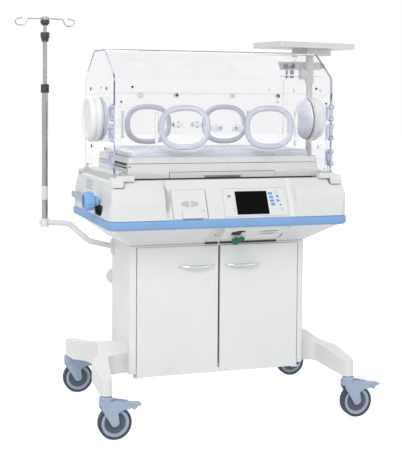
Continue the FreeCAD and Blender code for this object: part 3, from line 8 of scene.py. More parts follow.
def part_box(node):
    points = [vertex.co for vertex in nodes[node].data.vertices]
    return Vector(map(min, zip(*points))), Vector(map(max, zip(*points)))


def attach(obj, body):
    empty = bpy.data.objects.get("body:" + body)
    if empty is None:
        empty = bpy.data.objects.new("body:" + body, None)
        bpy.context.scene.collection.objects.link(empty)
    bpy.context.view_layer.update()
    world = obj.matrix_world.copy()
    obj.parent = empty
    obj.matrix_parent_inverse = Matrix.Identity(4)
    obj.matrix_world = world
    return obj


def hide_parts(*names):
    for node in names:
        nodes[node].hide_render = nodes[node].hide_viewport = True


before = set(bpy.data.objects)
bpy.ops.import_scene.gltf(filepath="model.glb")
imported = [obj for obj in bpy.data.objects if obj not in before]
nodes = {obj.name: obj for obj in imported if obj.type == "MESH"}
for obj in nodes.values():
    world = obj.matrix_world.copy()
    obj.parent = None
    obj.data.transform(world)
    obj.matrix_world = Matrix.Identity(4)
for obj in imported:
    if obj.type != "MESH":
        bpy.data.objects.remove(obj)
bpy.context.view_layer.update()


# Studio: the incubator stands on a pale floor in a white room under soft lamps.
# The camera stands a little to the left of the front, at the height of the mattress,
# and looks along a long lens whose view is shifted down to take in the castors.
eye = Vector((-1.3863, -4.045, 1.2645))
yaw, pitch, roll = -0.3134, -0.0436, 0.0071
ahead = Vector((-math.sin(yaw) * math.cos(pitch), math.cos(yaw) * math.cos(pitch), math.sin(pitch)))
level = Vector((math.cos(yaw), math.sin(yaw), 0))
raised = level.cross(ahead)
right = level * math.cos(roll) + raised * math.sin(roll)
up = raised * math.cos(roll) - level * math.sin(roll)
lens = bpy.data.cameras.new("camera")
lens.lens = 83.64
lens.shift_x, lens.shift_y = 0.0284, -0.182
camera = bpy.data.objects.new("camera", lens)
camera.matrix_world = Matrix.Translation(eye) @ Matrix((right, up, -ahead)).transposed().to_4x4()
bpy.context.scene.collection.objects.link(camera)
bpy.context.scene.camera = camera
bpy.context.scene.view_settings.view_transform = "Standard"
bpy.context.scene.cycles.transparent_max_bounces = 32
bpy.context.scene.cycles.max_bounces = 24
bpy.context.scene.cycles.transmission_bounces = 24


def link(tree, start, end):
    """Joins two sockets of a node tree."""
    tree.links.new(start, end)


def seen_directly(tree):
    """1 for rays from the camera and for rays that gloss or glass sends on, 0 for light."""
    rays = tree.nodes.new("ShaderNodeLightPath")
    largest = rays.outputs["Is Camera Ray"]
    for kind in ("Is Glossy Ray", "Is Transmission Ray"):
        either = tree.nodes.new("ShaderNodeMath")
        either.operation = "MAXIMUM"
        link(tree, largest, either.inputs[0])
        link(tree, rays.outputs[kind], either.inputs[1])
        largest = either.outputs[0]
    return largest


room = bpy.data.worlds.new("room")
bpy.context.scene.world = room
room.use_nodes = True
tree = room.node_tree
tree.nodes.clear()
lit = tree.nodes.new("ShaderNodeBackground")
lit.inputs["Color"].default_value = (0.97, 0.985, 1.0, 1)
lit.inputs["Strength"].default_value = 0.70
white = tree.nodes.new("ShaderNodeBackground")
white.inputs["Color"].default_value = (1, 1, 1, 1)
white.inputs["Strength"].default_value = 1.0
either = tree.nodes.new("ShaderNodeMixShader")
out = tree.nodes.new("ShaderNodeOutputWorld")
link(tree, seen_directly(tree), either.inputs[0])
link(tree, lit.outputs[0], either.inputs[1])
link(tree, white.outputs[0], either.inputs[2])
link(tree, either.outputs[0], out.inputs["Surface"])

bpy.ops.object.select_all(action="DESELECT")
bpy.ops.mesh.primitive_plane_add(size=60, location=(0, 0, 0))
floor = bpy.context.object
floor.name = "floor"
pale = bpy.data.materials.new("pale_floor")
pale.use_nodes = True
tree = pale.node_tree
tree.nodes.clear()
matt = tree.nodes.new("ShaderNodeBsdfDiffuse")
matt.inputs["Color"].default_value = (0.8, 0.8, 0.8, 1)
shaded = tree.nodes.new("ShaderNodeBsdfDiffuse")
shaded.inputs["Color"].default_value = (0.40, 0.40, 0.40, 1)
glow = tree.nodes.new("ShaderNodeEmission")
glow.inputs["Strength"].default_value = 0.80
both = tree.nodes.new("ShaderNodeAddShader")
either = tree.nodes.new("ShaderNodeMixShader")
out = tree.nodes.new("ShaderNodeOutputMaterial")
link(tree, shaded.outputs[0], both.inputs[0])
link(tree, glow.outputs[0], both.inputs[1])
link(tree, seen_directly(tree), either.inputs[0])
link(tree, matt.outputs[0], either.inputs[1])
link(tree, both.outputs[0], either.inputs[2])
link(tree, either.outputs[0], out.inputs["Surface"])
floor.data.materials.append(pale)

LAMP_TARGET = Vector((0, 0, 0.9))
for name, place, watts, wide in (("key_lamp", (-2.2, -3.6, 3.6), 104, 2.6),
                                 ("fill_lamp", (3.4, -2.6, 2.2), 13, 2.4),
                                 ("back_lamp", (-0.6, 3.6, 3.4), 30, 2.6)):
    lamp = bpy.data.lights.new(name, "AREA")
    lamp.energy, lamp.size = watts, wide
    hung = bpy.data.objects.new(name, lamp)
    aim = (LAMP_TARGET - Vector(place)).to_track_quat("-Z", "Y")
    hung.matrix_world = Matrix.Translation(place) @ aim.to_matrix().to_4x4()
    bpy.context.scene.collection.objects.link(hung)


# Materials: each is a small tree of nodes that works on the piece's own coordinates.
def blank(name):
    """A new material with its own shader, and that shader."""
    material = bpy.data.materials.new(name)
    material.use_nodes = True
    return material, material.node_tree, material.node_tree.nodes["Principled BSDF"]


def noise(tree, scale, detail=2.0, stretch=(1, 1, 1)):
    """Cloudy values on the piece's own coordinates; scale is how many clouds there are in a metre."""
    spot = tree.nodes.new("ShaderNodeTexCoord")
    turn = tree.nodes.new("ShaderNodeMapping")
    turn.inputs["Scale"].default_value = stretch
    clouds = tree.nodes.new("ShaderNodeTexNoise")
    clouds.inputs["Scale"].default_value = scale
    clouds.inputs["Detail"].default_value = detail
    link(tree, spot.outputs["Object"], turn.inputs["Vector"])
    link(tree, turn.outputs["Vector"], clouds.inputs["Vector"])
    return clouds.outputs["Fac"]


def ranged(tree, value, low, high, start=0.3, end=0.7):
    """The value moved from start..end to low..high."""
    moved = tree.nodes.new("ShaderNodeMapRange")
    moved.inputs["From Min"].default_value = start
    moved.inputs["From Max"].default_value = end
    moved.inputs["To Min"].default_value = low
    moved.inputs["To Max"].default_value = high
    link(tree, value, moved.inputs["Value"])
    return moved.outputs["Result"]


def blended(tree, factor, first, second):
    """Colour that goes from first to second."""
    mix = tree.nodes.new("ShaderNodeMix")
    mix.data_type = "RGBA"
    link(tree, factor, mix.inputs["Factor"])
    for socket, colour in (("A", first), ("B", second)):
        slot = [item for item in mix.inputs if item.name == socket and item.type == "RGBA"][0]
        if isinstance(colour, tuple):
            slot.default_value = (*colour, 1)
        else:
            link(tree, colour, slot)
    return [item for item in mix.outputs if item.type == "RGBA"][0]


def grained(tree, shader, scale, depth, stretch=(1, 1, 1)):
    """A fine bump over the surface; depth is in metres."""
    bump = tree.nodes.new("ShaderNodeBump")
    bump.inputs["Strength"].default_value = 1.0
    bump.inputs["Distance"].default_value = depth
    link(tree, noise(tree, scale, 3.0, stretch), bump.inputs["Height"])
    link(tree, bump.outputs["Normal"], shader.inputs["Normal"])


def coated(name, colour, shade, roughness, grain, depth, metallic=0.0, patch=9.0):
    """A paint or plastic: the colour drifts to its shade in soft patches, and the gloss varies with them."""
    material, tree, shader = blank(name)
    drift = noise(tree, patch, 4.0)
    link(tree, blended(tree, ranged(tree, drift, 0, 1), colour, shade), shader.inputs["Base Color"])
    fine = noise(tree, patch * 6, 3.0)
    link(tree, ranged(tree, fine, roughness - 0.05, roughness + 0.06), shader.inputs["Roughness"])
    shader.inputs["Metallic"].default_value = metallic
    grained(tree, shader, grain, depth)
    return material


def dress(finish, *names):
    """Gives CAD nodes their finish."""
    for name in names:
        for place in nodes[name].material_slots:
            place.material = finish


# Leg frames: two aluminium castings under the cabinet, powder coated in white. The coat has
# the faint orange peel of sprayed powder, and each casting reaches out to two castor bosses.
white_enamel = coated("white_enamel", (0.80, 0.805, 0.80), (0.765, 0.77, 0.765), 0.36, 700, 0.00012)
dress(white_enamel, "leg_frame_left", "leg_frame_right")


# Castors: forks and brake pedals are moulded in grey-blue plastic and turn on a plated stem.
# Each wheel has a dark rubber tread, a pale ring and a slate disc, and rolls on its axle.
castor_plastic = coated("castor_plastic", (0.38, 0.46, 0.60), (0.34, 0.42, 0.55), 0.42, 1500, 0.00006)
tread_rubber = coated("tread_rubber", (0.040, 0.050, 0.068), (0.055, 0.064, 0.082), 0.62, 900, 0.0001)
ring_plastic = coated("ring_plastic", (0.36, 0.43, 0.54), (0.32, 0.39, 0.50), 0.45, 1500, 0.00006)
disc_plastic = coated("disc_plastic", (0.075, 0.092, 0.125), (0.095, 0.112, 0.145), 0.48, 1500, 0.00006)
CORNERS = {"front_left": (-0.494, -0.328), "front_right": (0.494, -0.328),
           "rear_left": (-0.494, 0.328), "rear_right": (0.494, 0.328)}
TRAIL, WHEEL_RADIUS, TREAD_WIDE = 0.033, 0.0625, 0.030
TREAD, RING, DISC = 0, 1, 2
WHEEL_STEPS = ((0.0035, 0.0, TREAD), (0.0040, -0.0006, TREAD), (0.0025, -0.0012, RING),
               (0.0005, 0.0010, RING), (0.0095, -0.0002, RING), (0.0015, -0.0022, RING),
               (0.0010, -0.0015, DISC), (0.0170, -0.0010, DISC), (0.0030, 0.0045, DISC),
               (0.0060, 0.0030, RING))


def edit(piece):
    """Opens one piece in edit mode with nothing picked."""
    bpy.ops.object.select_all(action="DESELECT")
    piece.select_set(True)
    bpy.context.view_layer.objects.active = piece
    bpy.ops.object.mode_set(mode="EDIT")
    bpy.ops.mesh.select_mode(type="FACE")
    bpy.ops.mesh.select_all(action="DESELECT")


def pick(piece, wanted):
    """In edit mode, picks the faces that pass the test."""
    mesh = bmesh.from_edit_mesh(piece.data)
    for face in mesh.faces:
        face.select_set(bool(wanted(face)))
    mesh.select_flush_mode()
    bmesh.update_edit_mesh(piece.data)


def is_end(face):
    """A cylinder's two ends are its only faces with more than four corners."""
    return len(face.verts) > 4


def step(piece, wanted, steps):
    """Insets the picked faces again and again; a step is (inwards, out along the normal, finish)."""
    edit(piece)
    pick(piece, wanted)
    for inwards, out_by, finish in steps:
        bpy.ops.mesh.inset(thickness=inwards, depth=out_by)
        piece.active_material_index = finish
        bpy.ops.object.material_slot_assign()
    bpy.ops.object.mode_set(mode="OBJECT")


def apply(piece, modifier):
    """Turns a piece's modifier into mesh."""
    bpy.context.view_layer.objects.active = piece
    bpy.ops.object.modifier_apply(modifier=modifier.name)


def soften(piece, width, segments=2, degrees=40):
    """Rounds the sharper edges with a bevel."""
    bevel = piece.modifiers.new("bevel", "BEVEL")
    bevel.width, bevel.segments = width, segments
    bevel.limit_method, bevel.angle_limit = "ANGLE", math.radians(degrees)
    apply(piece, bevel)


def thicken(piece, thickness):
    """Gives an open sheet its thickness, inwards from its face."""
    wall = piece.modifiers.new("wall", "SOLIDIFY")
    wall.thickness = thickness
    apply(piece, wall)


def settle(piece, name, body, slot, *replaced):
    """Puts the piece's place into its mesh, and lets it ride on its body for the nodes that it stands for."""
    bpy.ops.object.select_all(action="DESELECT")
    piece.select_set(True)
    bpy.context.view_layer.objects.active = piece
    bpy.ops.object.transform_apply(location=True, rotation=True, scale=True)
    bpy.ops.object.shade_smooth_by_angle(angle=math.radians(38))
    piece.name = name
    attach(piece, body)
    if replaced:
        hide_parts(*replaced)
    return piece


def add(kind, finishes, **sizes):
    """A primitive with its finishes, and nothing else picked."""
    bpy.ops.object.select_all(action="DESELECT")
    getattr(bpy.ops.mesh, f"primitive_{kind}_add")(**sizes)
    piece = bpy.context.object
    for finish in finishes:
        piece.data.materials.append(finish)
    return piece


for corner, (x, y) in CORNERS.items():
    dress(castor_plastic, f"castor_{corner}_fork", f"castor_{corner}_pedal")
    wheel = add("cylinder", (tread_rubber, ring_plastic, disc_plastic), vertices=72, radius=WHEEL_RADIUS,
                depth=TREAD_WIDE, location=(x + TRAIL, y, WHEEL_RADIUS), rotation=(math.pi / 2, 0, 0))
    step(wheel, is_end, WHEEL_STEPS)
    soften(wheel, 0.0022, 3, 60)
    settle(wheel, f"wheel_{corner}", f"castor_{corner}_wheel_body", "castor_wheel", f"castor_{corner}_wheel")


# Cabinet: folded sheet steel with rounded corner columns, painted white. Its two doors hang on
# their outer edges, and each has a slim polished bow that stands on the door at its two tips.
white_paint = coated("white_paint", (0.82, 0.825, 0.82), (0.79, 0.795, 0.79), 0.38, 900, 0.00008)
chrome = coated("chrome", (0.72, 0.735, 0.75), (0.66, 0.675, 0.69), 0.11, 60, 0.00003, 1.0)
pole_steel = coated("pole_steel", (0.44, 0.445, 0.435), (0.36, 0.365, 0.355), 0.20, 400, 0.00003, 1.0)
dress(white_paint, "cabinet_shell", "cabinet_door_left", "cabinet_door_right")


def bar(finish, points, radius, thickness=None, closed=False, sides=5, order=4):
    """A round bar along a smooth line of points; thickness is a share of its radius for each point."""
    bpy.ops.object.select_all(action="DESELECT")
    bpy.ops.curve.primitive_nurbs_path_add(location=(0, 0, 0))
    curve = bpy.context.object
    shape = curve.data
    shape.splines.clear()
    line = shape.splines.new("NURBS")
    line.points.add(len(points) - 1)
    for place, point in enumerate(points):
        line.points[place].co = (*point, 1)
        line.points[place].radius = thickness[place] if thickness else 1.0
    line.order_u = min(order, len(points))
    line.use_endpoint_u = not closed
    line.use_cyclic_u = closed
    line.resolution_u = 6
    shape.bevel_depth, shape.bevel_resolution = radius, sides
    shape.use_fill_caps = True
    shape.materials.append(finish)
    bpy.ops.object.convert(target="MESH")
    return bpy.context.object


def merge(pieces):
    """Joins pieces into the first one."""
    bpy.ops.object.select_all(action="DESELECT")
    for piece in pieces:
        piece.select_set(True)
    bpy.context.view_layer.objects.active = pieces[0]
    bpy.ops.object.join()
    return pieces[0]


BOW_RADIUS, BOW_SINK = 0.0052, 0.0012
BOW_LINE = ((-1, 0.0), (-0.86, 0.42), (-0.5, 0.86), (0, 1.02), (0.5, 0.86), (0.86, 0.42), (1, 0.0))
BOW_TAPER = (0.30, 0.55, 0.92, 1.0, 0.92, 0.55, 0.30)
for hand in ("left", "right"):
    low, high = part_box(f"door_handle_{hand}")
    middle, half, reach = (low.x + high.x) / 2, (high.x - low.x) / 2, high.y - low.y
    height = (low.z + high.z) / 2
    line = [(middle + half * along, high.y + BOW_SINK - reach * out, height) for along, out in BOW_LINE]
    bow = bar(chrome, line, BOW_RADIUS, BOW_TAPER)
    settle(bow, f"bow_{hand}", f"door_{hand}", "chrome", f"door_handle_{hand}")


def plate(finish, wide, tall, thick, corner, edge=0.0003):
    """A thin plate on the level plane, with rounded corners and softened edges."""
    piece = add("cube", (finish,), size=1, location=(0, 0, thick / 2), scale=(wide, tall, thick))
    bpy.ops.object.transform_apply(location=True, rotation=True, scale=True)
    bpy.ops.object.mode_set(mode="EDIT")
    bpy.ops.mesh.select_mode(type="EDGE")
    bpy.ops.mesh.select_all(action="DESELECT")
    mesh = bmesh.from_edit_mesh(piece.data)
    for line in mesh.edges:
        line.select_set(abs(line.verts[0].co.z - line.verts[1].co.z) > thick / 2)
    bmesh.update_edit_mesh(piece.data)
    bpy.ops.mesh.bevel(offset=corner, segments=5, affect="EDGES")
    bpy.ops.object.mode_set(mode="OBJECT")
    soften(piece, edge, 2, 60)
    return piece


def lay(piece, origin, across, upward):
    """Moves a piece from the level plane onto a face, given by a point on it and its two directions."""
    across, upward = Vector(across), Vector(upward)
    turn = Matrix((across, upward, across.cross(upward))).transposed().to_4x4()
    piece.data.transform(Matrix.Translation(origin) @ turn @ piece.matrix_basis)
    piece.matrix_basis = Matrix.Identity(4)
    return piece


# SKIN is how far a strip of painted shade, a printed mark or a small part stands off the face behind it.
UPRIGHT, SKIN = (0, 0, 1), 0.0002


def on_wall(piece, x, face_y, z, sense):
    """Lays a piece on an upright face that looks to the front (-1) or to the rear (1)."""
    return lay(piece, (x, face_y, z), (-sense, 0, 0), UPRIGHT)


def on_end(piece, face_x, y, z, sense):
    """Lays a piece on an upright face that looks to the left (-1) or to the right (1)."""
    return lay(piece, (face_x, y, z), (0, sense, 0), UPRIGHT)


# Base: the pan that stands on the cabinet and the controller that plugs into its front are
# moulded in white plastic. The green catch under the controller lets it out again.
shell_plastic = coated("shell_plastic", (0.745, 0.75, 0.745), (0.72, 0.725, 0.72), 0.40, 1400, 0.00006)
green_plastic = coated("green_plastic", (0.004, 0.150, 0.052), (0.004, 0.125, 0.042), 0.35, 1400, 0.00005)
# The pan and the controller get a lighter copy of the shell's white plastic: painted light, for the bounce
# from the floor that the scene lacks.
pan_plastic_painted_light = coated("pan_plastic_painted_light", (0.83, 0.835, 0.825), (0.80, 0.805, 0.795), 0.40, 1400, 0.00006)
dress(pan_plastic_painted_light, "lower_pan", "controller_module")
dress(green_plastic, "release_catch")
# bay_dark is painted shade in the card slot and along the bay's foot, and it also colours a small dark
# socket.
bay_dark = coated("bay_dark", (0.020, 0.022, 0.026), (0.035, 0.037, 0.042), 0.55, 700, 0.00004)
SLOT_UP = Vector((0, -0.061, 0.038)).normalized()
vent_painted_shade = coated("vent_painted_shade", (0.33, 0.35, 0.41), (0.28, 0.30, 0.36), 0.5, 700, 0.00004)
bay_beige = coated("bay_beige", (0.46, 0.45, 0.39), (0.42, 0.41, 0.35), 0.5, 700, 0.00004)
SLOPE_FOOT = Vector((0, -0.2450, 0.7160))


def on_module(piece, x, along, out=SKIN):
    """Lays a piece on the controller's leaning face; along is the way up the slope from its foot."""
    outward = Vector((1, 0, 0)).cross(SLOT_UP)
    return lay(piece, SLOPE_FOOT + SLOT_UP * along + outward * out + Vector((x, 0, 0)), (1, 0, 0), SLOT_UP)


# Painted shade in the controller's bay: the dark plate in the card slot and the dark strip along the bay's
# foot stand where only shade falls. A beige patch lies on the wall at the bay's right end. The dark socket,
# the white plate in the slot and the white lever are parts.
bay_pieces = [on_module(plate(bay_dark, 0.0500, 0.0280, 0.0010, 0.0040), 0.034, 0.0505),
           on_module(plate(shell_plastic, 0.0100, 0.0240, 0.0022, 0.0030), 0.0535, 0.0485),
           on_module(plate(bay_beige, 0.0090, 0.0330, 0.0012, 0.0020), 0.2255, 0.0190),
           on_wall(plate(bay_dark, 0.3020, 0.0085, 0.0008, 0.0010), 0.085, -0.1908, 0.6950, -1)]
# The two grey strips on the controller's face are painted shade in its vent slots.
for along in (0.0395, 0.0615):
    bay_pieces.append(on_module(plate(vent_painted_shade, 0.0660, 0.0026, 0.0008, 0.0012), 0.151, along))
socket = add("cylinder", (bay_dark,), vertices=28, radius=0.0045, depth=0.0016)
bay_pieces.append(on_module(socket, -0.050, 0.0395))
LEVER_LINE = ((-0.0500, -0.2810, 0.7380), (-0.0440, -0.2720, 0.7290), (-0.0330, -0.2480, 0.7110),
              (-0.0250, -0.2400, 0.6990))
bay_pieces.append(bar(shell_plastic, LEVER_LINE, 0.0024))
settle(merge(bay_pieces), "bay_shade_and_parts", "root", "black_plastic")


# Bumper: a soft blue band that goes all round the housing, extruded with a rounded outer edge
# and a fine grain. It takes the knocks of door frames.
blue_band = coated("blue_band", (0.215, 0.405, 0.70), (0.195, 0.375, 0.67), 0.50, 420, 0.00025)
blue_plastic = coated("blue_plastic", (0.235, 0.445, 0.755), (0.215, 0.42, 0.73), 0.34, 1400, 0.00005)
deep_blue = coated("deep_blue", (0.055, 0.155, 0.44), (0.048, 0.14, 0.41), 0.40, 1400, 0.00005)
dress(blue_band, "bumper")


# Upper shell: one moulding in white plastic that carries the controls in a leaning recess. The recess
# has a scooped wall at its left, and a hollow for the hand lies under each knob.
dress(shell_plastic, "upper_shell")


def face_at(name, x, z, sense=-1):
    """Where along Y the front (-1) or rear (1) surface of a node lies at a place."""
    view = bpy.context.evaluated_depsgraph_get()
    found, place = nodes[name].ray_cast((x, sense, z), (0, -sense, 0), depsgraph=view)[:2]
    assert found, (name, x, z)
    return place.y


# The scooped wall gets a darker copy of the shell's white plastic: painted shade, as the wall faces away from
# the key lamp.
scoop_shaded_plastic = coated("scoop_shaded_plastic", (0.56, 0.565, 0.56), (0.52, 0.525, 0.52), 0.42, 1400, 0.00005)
SCOOP_LEFT, SCOOP_WIDE, SCOOP_LOW, SCOOP_HIGH = -0.2682, 0.0300, 0.812, 0.944
scoop = add("grid", (scoop_shaded_plastic,), x_subdivisions=10, y_subdivisions=30, size=1)
for point in scoop.data.vertices:
    across, rise = point.co.x + 0.5, point.co.y + 0.5
    z = SCOOP_LOW + (SCOOP_HIGH - SCOOP_LOW) * rise
    wide = 0.0006 + SCOOP_WIDE * math.sin(math.pi * rise) ** 0.8
    edge_y = face_at("upper_shell", SCOOP_LEFT - 0.0010, z) - SKIN
    back_y = face_at("upper_shell", SCOOP_LEFT + wide, z) - 0.0004
    point.co = (SCOOP_LEFT + wide * across, edge_y + (back_y - edge_y) * (1 - (1 - across) ** 1.7), z)
thicken(scoop, 0.0010)
settle(scoop, "recess_scoop", "root", "shell_plastic")

# Painted shade: a dark cup sits in each hand hollow and stands for the shadow that falls in the white hollow.
hollow_painted_shade = coated("hollow_painted_shade", (0.030, 0.040, 0.058), (0.045, 0.055, 0.075), 0.5, 700, 0.00004)
HOLLOW_WIDE, HOLLOW_TALL, HOLLOW_ROUND, HOLLOW_DEEP = 0.1454, 0.0427, 0.0355, 0.0176
HOLLOW_X, HOLLOW_Y, HOLLOW_TOP = 0.4592, -0.130, 0.852
hollow_shade_cups = []
for sense in (-1, 1):
    cup = plate(hollow_painted_shade, HOLLOW_WIDE, 2 * HOLLOW_TALL, HOLLOW_DEEP, HOLLOW_ROUND)
    edit(cup)
    bpy.ops.mesh.select_all(action="SELECT")
    bpy.ops.mesh.bisect(plane_co=(0, 0, 0), plane_no=(0, 1, 0), clear_outer=True)
    pick(cup, lambda face: face.normal.z > 0.5)
    bpy.ops.mesh.delete(type="FACE")
    bpy.ops.object.mode_set(mode="OBJECT")
    thicken(cup, 0.0006)
    hollow_shade_cups.append(on_end(cup, sense * HOLLOW_X, HOLLOW_Y, HOLLOW_TOP, sense))
settle(merge(hollow_shade_cups), "hollow_shades", "root", "black_plastic")


# Controls: a white panel with a dark display window, and blue keys on a membrane beside it. The keys,
# the panel's thin border and its lamps are printed or snapped on the leaning face.
black_glass, tree, shader = blank("black_glass")
link(tree, blended(tree, noise(tree, 30), (0.0012, 0.0013, 0.0014), (0.0020, 0.0021, 0.0022)),
     shader.inputs["Base Color"])
link(tree, ranged(tree, noise(tree, 80), 0.22, 0.30), shader.inputs["Roughness"])
shader.inputs["Specular IOR Level"].default_value = 0.06
panel_plastic = coated("panel_plastic", (0.745, 0.755, 0.745), (0.725, 0.735, 0.725), 0.42, 1600, 0.00004)
# print_and_shade_grey serves printed marks, and on the drawer's grille it is painted shade.
print_and_shade_grey = coated("print_and_shade_grey", (0.40, 0.41, 0.41), (0.34, 0.35, 0.35), 0.45, 900, 0.00002)
print_dark = coated("print_dark", (0.030, 0.034, 0.045), (0.045, 0.050, 0.060), 0.45, 900, 0.00002)
key_blue = coated("key_blue", (0.11, 0.30, 0.70), (0.09, 0.26, 0.64), 0.38, 900, 0.00003)
lamp_olive = coated("lamp_olive", (0.38, 0.37, 0.16), (0.30, 0.29, 0.12), 0.35, 900, 0.00003)
dress(panel_plastic, "control_panel")
dress(black_glass, "display_screen")
LEAN = math.radians(25.5)
SLOPE_ACROSS, SLOPE_UP = (1, 0, 0), (0, math.sin(LEAN), math.cos(LEAN))
PANEL_THICK = 0.002


def on_slope(piece, x, height, out=PANEL_THICK):
    """Lays a piece on the leaning recess at a height, and a distance out from the moulding."""
    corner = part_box("control_panel")[0]
    back_y = corner.y + PANEL_THICK * math.cos(LEAN) + (height - corner.z) * math.tan(LEAN)
    place = (x, back_y - out * math.cos(LEAN), height + out * math.sin(LEAN))
    return lay(piece, place, SLOPE_ACROSS, SLOPE_UP)


KEY_X, KEY_Z, KEY_SHIFT, KEY_STEP = 0.1665, 0.8935, 0.0023, 0.0135
keys = []
for row in range(4):
    for finish, wide, tall, out in ((key_blue, 0.0165, 0.0098, PANEL_THICK),
                                    (panel_plastic, 0.0064, 0.0016, PANEL_THICK + 0.0006)):
        key = plate(finish, wide, tall, 0.0010, tall * 0.3)
        keys.append(on_slope(key, KEY_X + KEY_SHIFT * row, KEY_Z - KEY_STEP * row, out))
for height, angle in ((0.8825, 90), (0.8665, 270)):
    arrow = add("cylinder", (key_blue,), vertices=3, radius=0.0088, depth=0.0018,
                rotation=(0, 0, math.radians(angle)))
    soften(arrow, 0.0006, 2, 30)
    keys.append(on_slope(arrow, 0.1955, height))
standby = add("torus", (print_and_shade_grey,), major_radius=0.0062, minor_radius=0.0007, major_segments=32,
              minor_segments=8)
keys.append(on_slope(standby, 0.1905, 0.8985))
for x, height, wide, tall, finish in ((0.2035, 0.8505, 0.0060, 0.0050, print_dark),
                                      (0.2070, 0.8370, 0.0085, 0.0016, key_blue),
                                      (0.2095, 0.8315, 0.0085, 0.0016, key_blue)):
    keys.append(on_slope(plate(finish, wide, tall, 0.0008, 0.0006), x, height))
settle(merge(keys), "soft_keys", "root", "blue_plastic", "keypad")

low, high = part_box("control_panel")
MARGIN, LINE = 0.0012, 0.0010
RISE = (high.z - low.z - PANEL_THICK * math.sin(LEAN)) / math.cos(LEAN)
middle_x, middle_z = (low.x + high.x) / 2, low.z + RISE * math.cos(LEAN) / 2
marks = []
for x, height, wide, tall in ((low.x + MARGIN, middle_z, LINE, RISE),
                              (high.x - MARGIN, middle_z, LINE / 2, RISE),
                              (middle_x, low.z + RISE * math.cos(LEAN) - MARGIN, high.x - low.x, LINE),
                              (middle_x, low.z + MARGIN, high.x - low.x, LINE / 2)):
    marks.append(on_slope(plate(print_and_shade_grey, wide, tall, 0.0004, 0.0001, 0.0001), x, height))
marks.append(on_slope(plate(lamp_olive, 0.0125, 0.0095, 0.0014, 0.0016), -0.0040, 0.8860))
for x, height in ((0.0065, 0.8405), (0.0135, 0.8410), (0.0100, 0.8320), (0.0160, 0.8325)):
    small = add("cylinder", (print_dark,), vertices=20, radius=0.0014, depth=0.0014)
    soften(small, 0.0004, 2, 30)
    marks.append(on_slope(small, x, height))
settle(merge(marks), "panel_marks", "root", "black_plastic")


# Humidity drawer: a white front plate with a moulded oval of slats and a pull tab. Its joint is painted
# dark all round as painted shade, and painted shadow widens it along its right edge and under the tab.
joint_painted_shade = coated("joint_painted_shade", (0.055, 0.056, 0.058), (0.085, 0.086, 0.088), 0.6, 700, 0.00004)
dress(shell_plastic, "humidity_drawer")
low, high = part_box("humidity_drawer")
DRAWER_OUT = 0.0033
FRONT_LOW, FRONT_HIGH = low.z, low.z + 0.104
middle_z, tall = (FRONT_LOW + FRONT_HIGH) / 2, (FRONT_HIGH - FRONT_LOW) / math.cos(LEAN)
joint_shades = [on_slope(plate(joint_painted_shade, wide, tall, thick, 0.0002, 0.0002), x, middle_z, SKIN)
          for x, wide, thick in ((high.x + 0.0012, 0.0018, 0.0032), (low.x - 0.0005, 0.0007, 0.0014))]
top_joint_shade = plate(joint_painted_shade, high.x - low.x, 0.0007, 0.0016, 0.0002, 0.0002)
joint_shades.append(on_slope(top_joint_shade, (low.x + high.x) / 2, FRONT_HIGH + 0.0006, SKIN))
settle(merge(joint_shades), "drawer_joint_shade", "root", "black_plastic")
# The grille's slats are white moulding; the grey they carry is painted shade of the slots between them.
GRILLE_X, GRILLE_Z, GRILLE_HALF, SLATS, SLAT_SPREAD = -0.166, 0.861, 0.035, 8, 0.0115
grille = []
for slat in range(SLATS):
    off = (slat - (SLATS - 1) / 2) / (SLATS / 2)
    half = GRILLE_HALF * math.sqrt(1 - off * off)
    for piece_low, piece_high in ((-half, -0.004 * (slat % 2)), (0.004 * (slat % 2) + 0.003, half)):
        slat_bar = plate(print_and_shade_grey, piece_high - piece_low, 0.0013, 0.0010, 0.0005)
        grille.append(on_slope(slat_bar, GRILLE_X + (piece_low + piece_high) / 2,
                               GRILLE_Z + off * SLAT_SPREAD, DRAWER_OUT - 0.0002))
TAB_LEFT, TAB_RIGHT, TAB_HIGH, TAB_MIDDLE, TAB_TALL = -0.200, -0.120, 0.839, 0.823, 0.033
# Painted shadow under the pull tab.
tab_shadow = plate(joint_painted_shade, TAB_RIGHT - TAB_LEFT, 0.0020, 0.0026, 0.0004)
grille.append(on_slope(tab_shadow, (TAB_LEFT + TAB_RIGHT) / 2, FRONT_LOW - 0.0005, DRAWER_OUT))
tab_side = plate(print_and_shade_grey, 0.0008, TAB_TALL, 0.0012, 0.0003)
grille.append(on_slope(tab_side, TAB_LEFT - 0.0006, TAB_MIDDLE, DRAWER_OUT))
dimple = add("torus", (print_and_shade_grey,), major_radius=0.0024, minor_radius=0.0010, major_segments=24,
             minor_segments=8)
grille.append(on_slope(dimple, TAB_RIGHT + 0.006, TAB_HIGH - 0.004, DRAWER_OUT))
settle(merge(grille), "drawer_grille", "humidity_drawer_body", "shell_plastic")


# Side grille: five rows of short slots moulded in the left end of the shell, in front of the fan's filter.
# The end leans inwards a little as it rises.
END_LEAN = math.atan2(0.016, 0.144)
END_UP = (math.sin(END_LEAN), 0, math.cos(END_LEAN))
vent_pale = coated("vent_pale", (0.44, 0.46, 0.52), (0.38, 0.40, 0.46), 0.5, 700, 0.00004)
VENT_Y, VENT_Z, VENT_STEP, VENT_RISE = 0.012, 0.8985, 0.0135, 0.0078
slots = []
for row in range(5):
    for place in range(9 - row % 2):
        slot = plate(vent_pale, 0.0090, 0.0030, 0.0010, 0.0012)
        z = VENT_Z + VENT_RISE * row
        slots.append(lay(slot, (-0.4716 + (z - 0.912) * math.tan(END_LEAN),
                                VENT_Y + VENT_STEP * (place + (row % 2) / 2), z), (0, -1, 0), END_UP))
settle(merge(slots), "side_grille", "root", "shell_plastic")


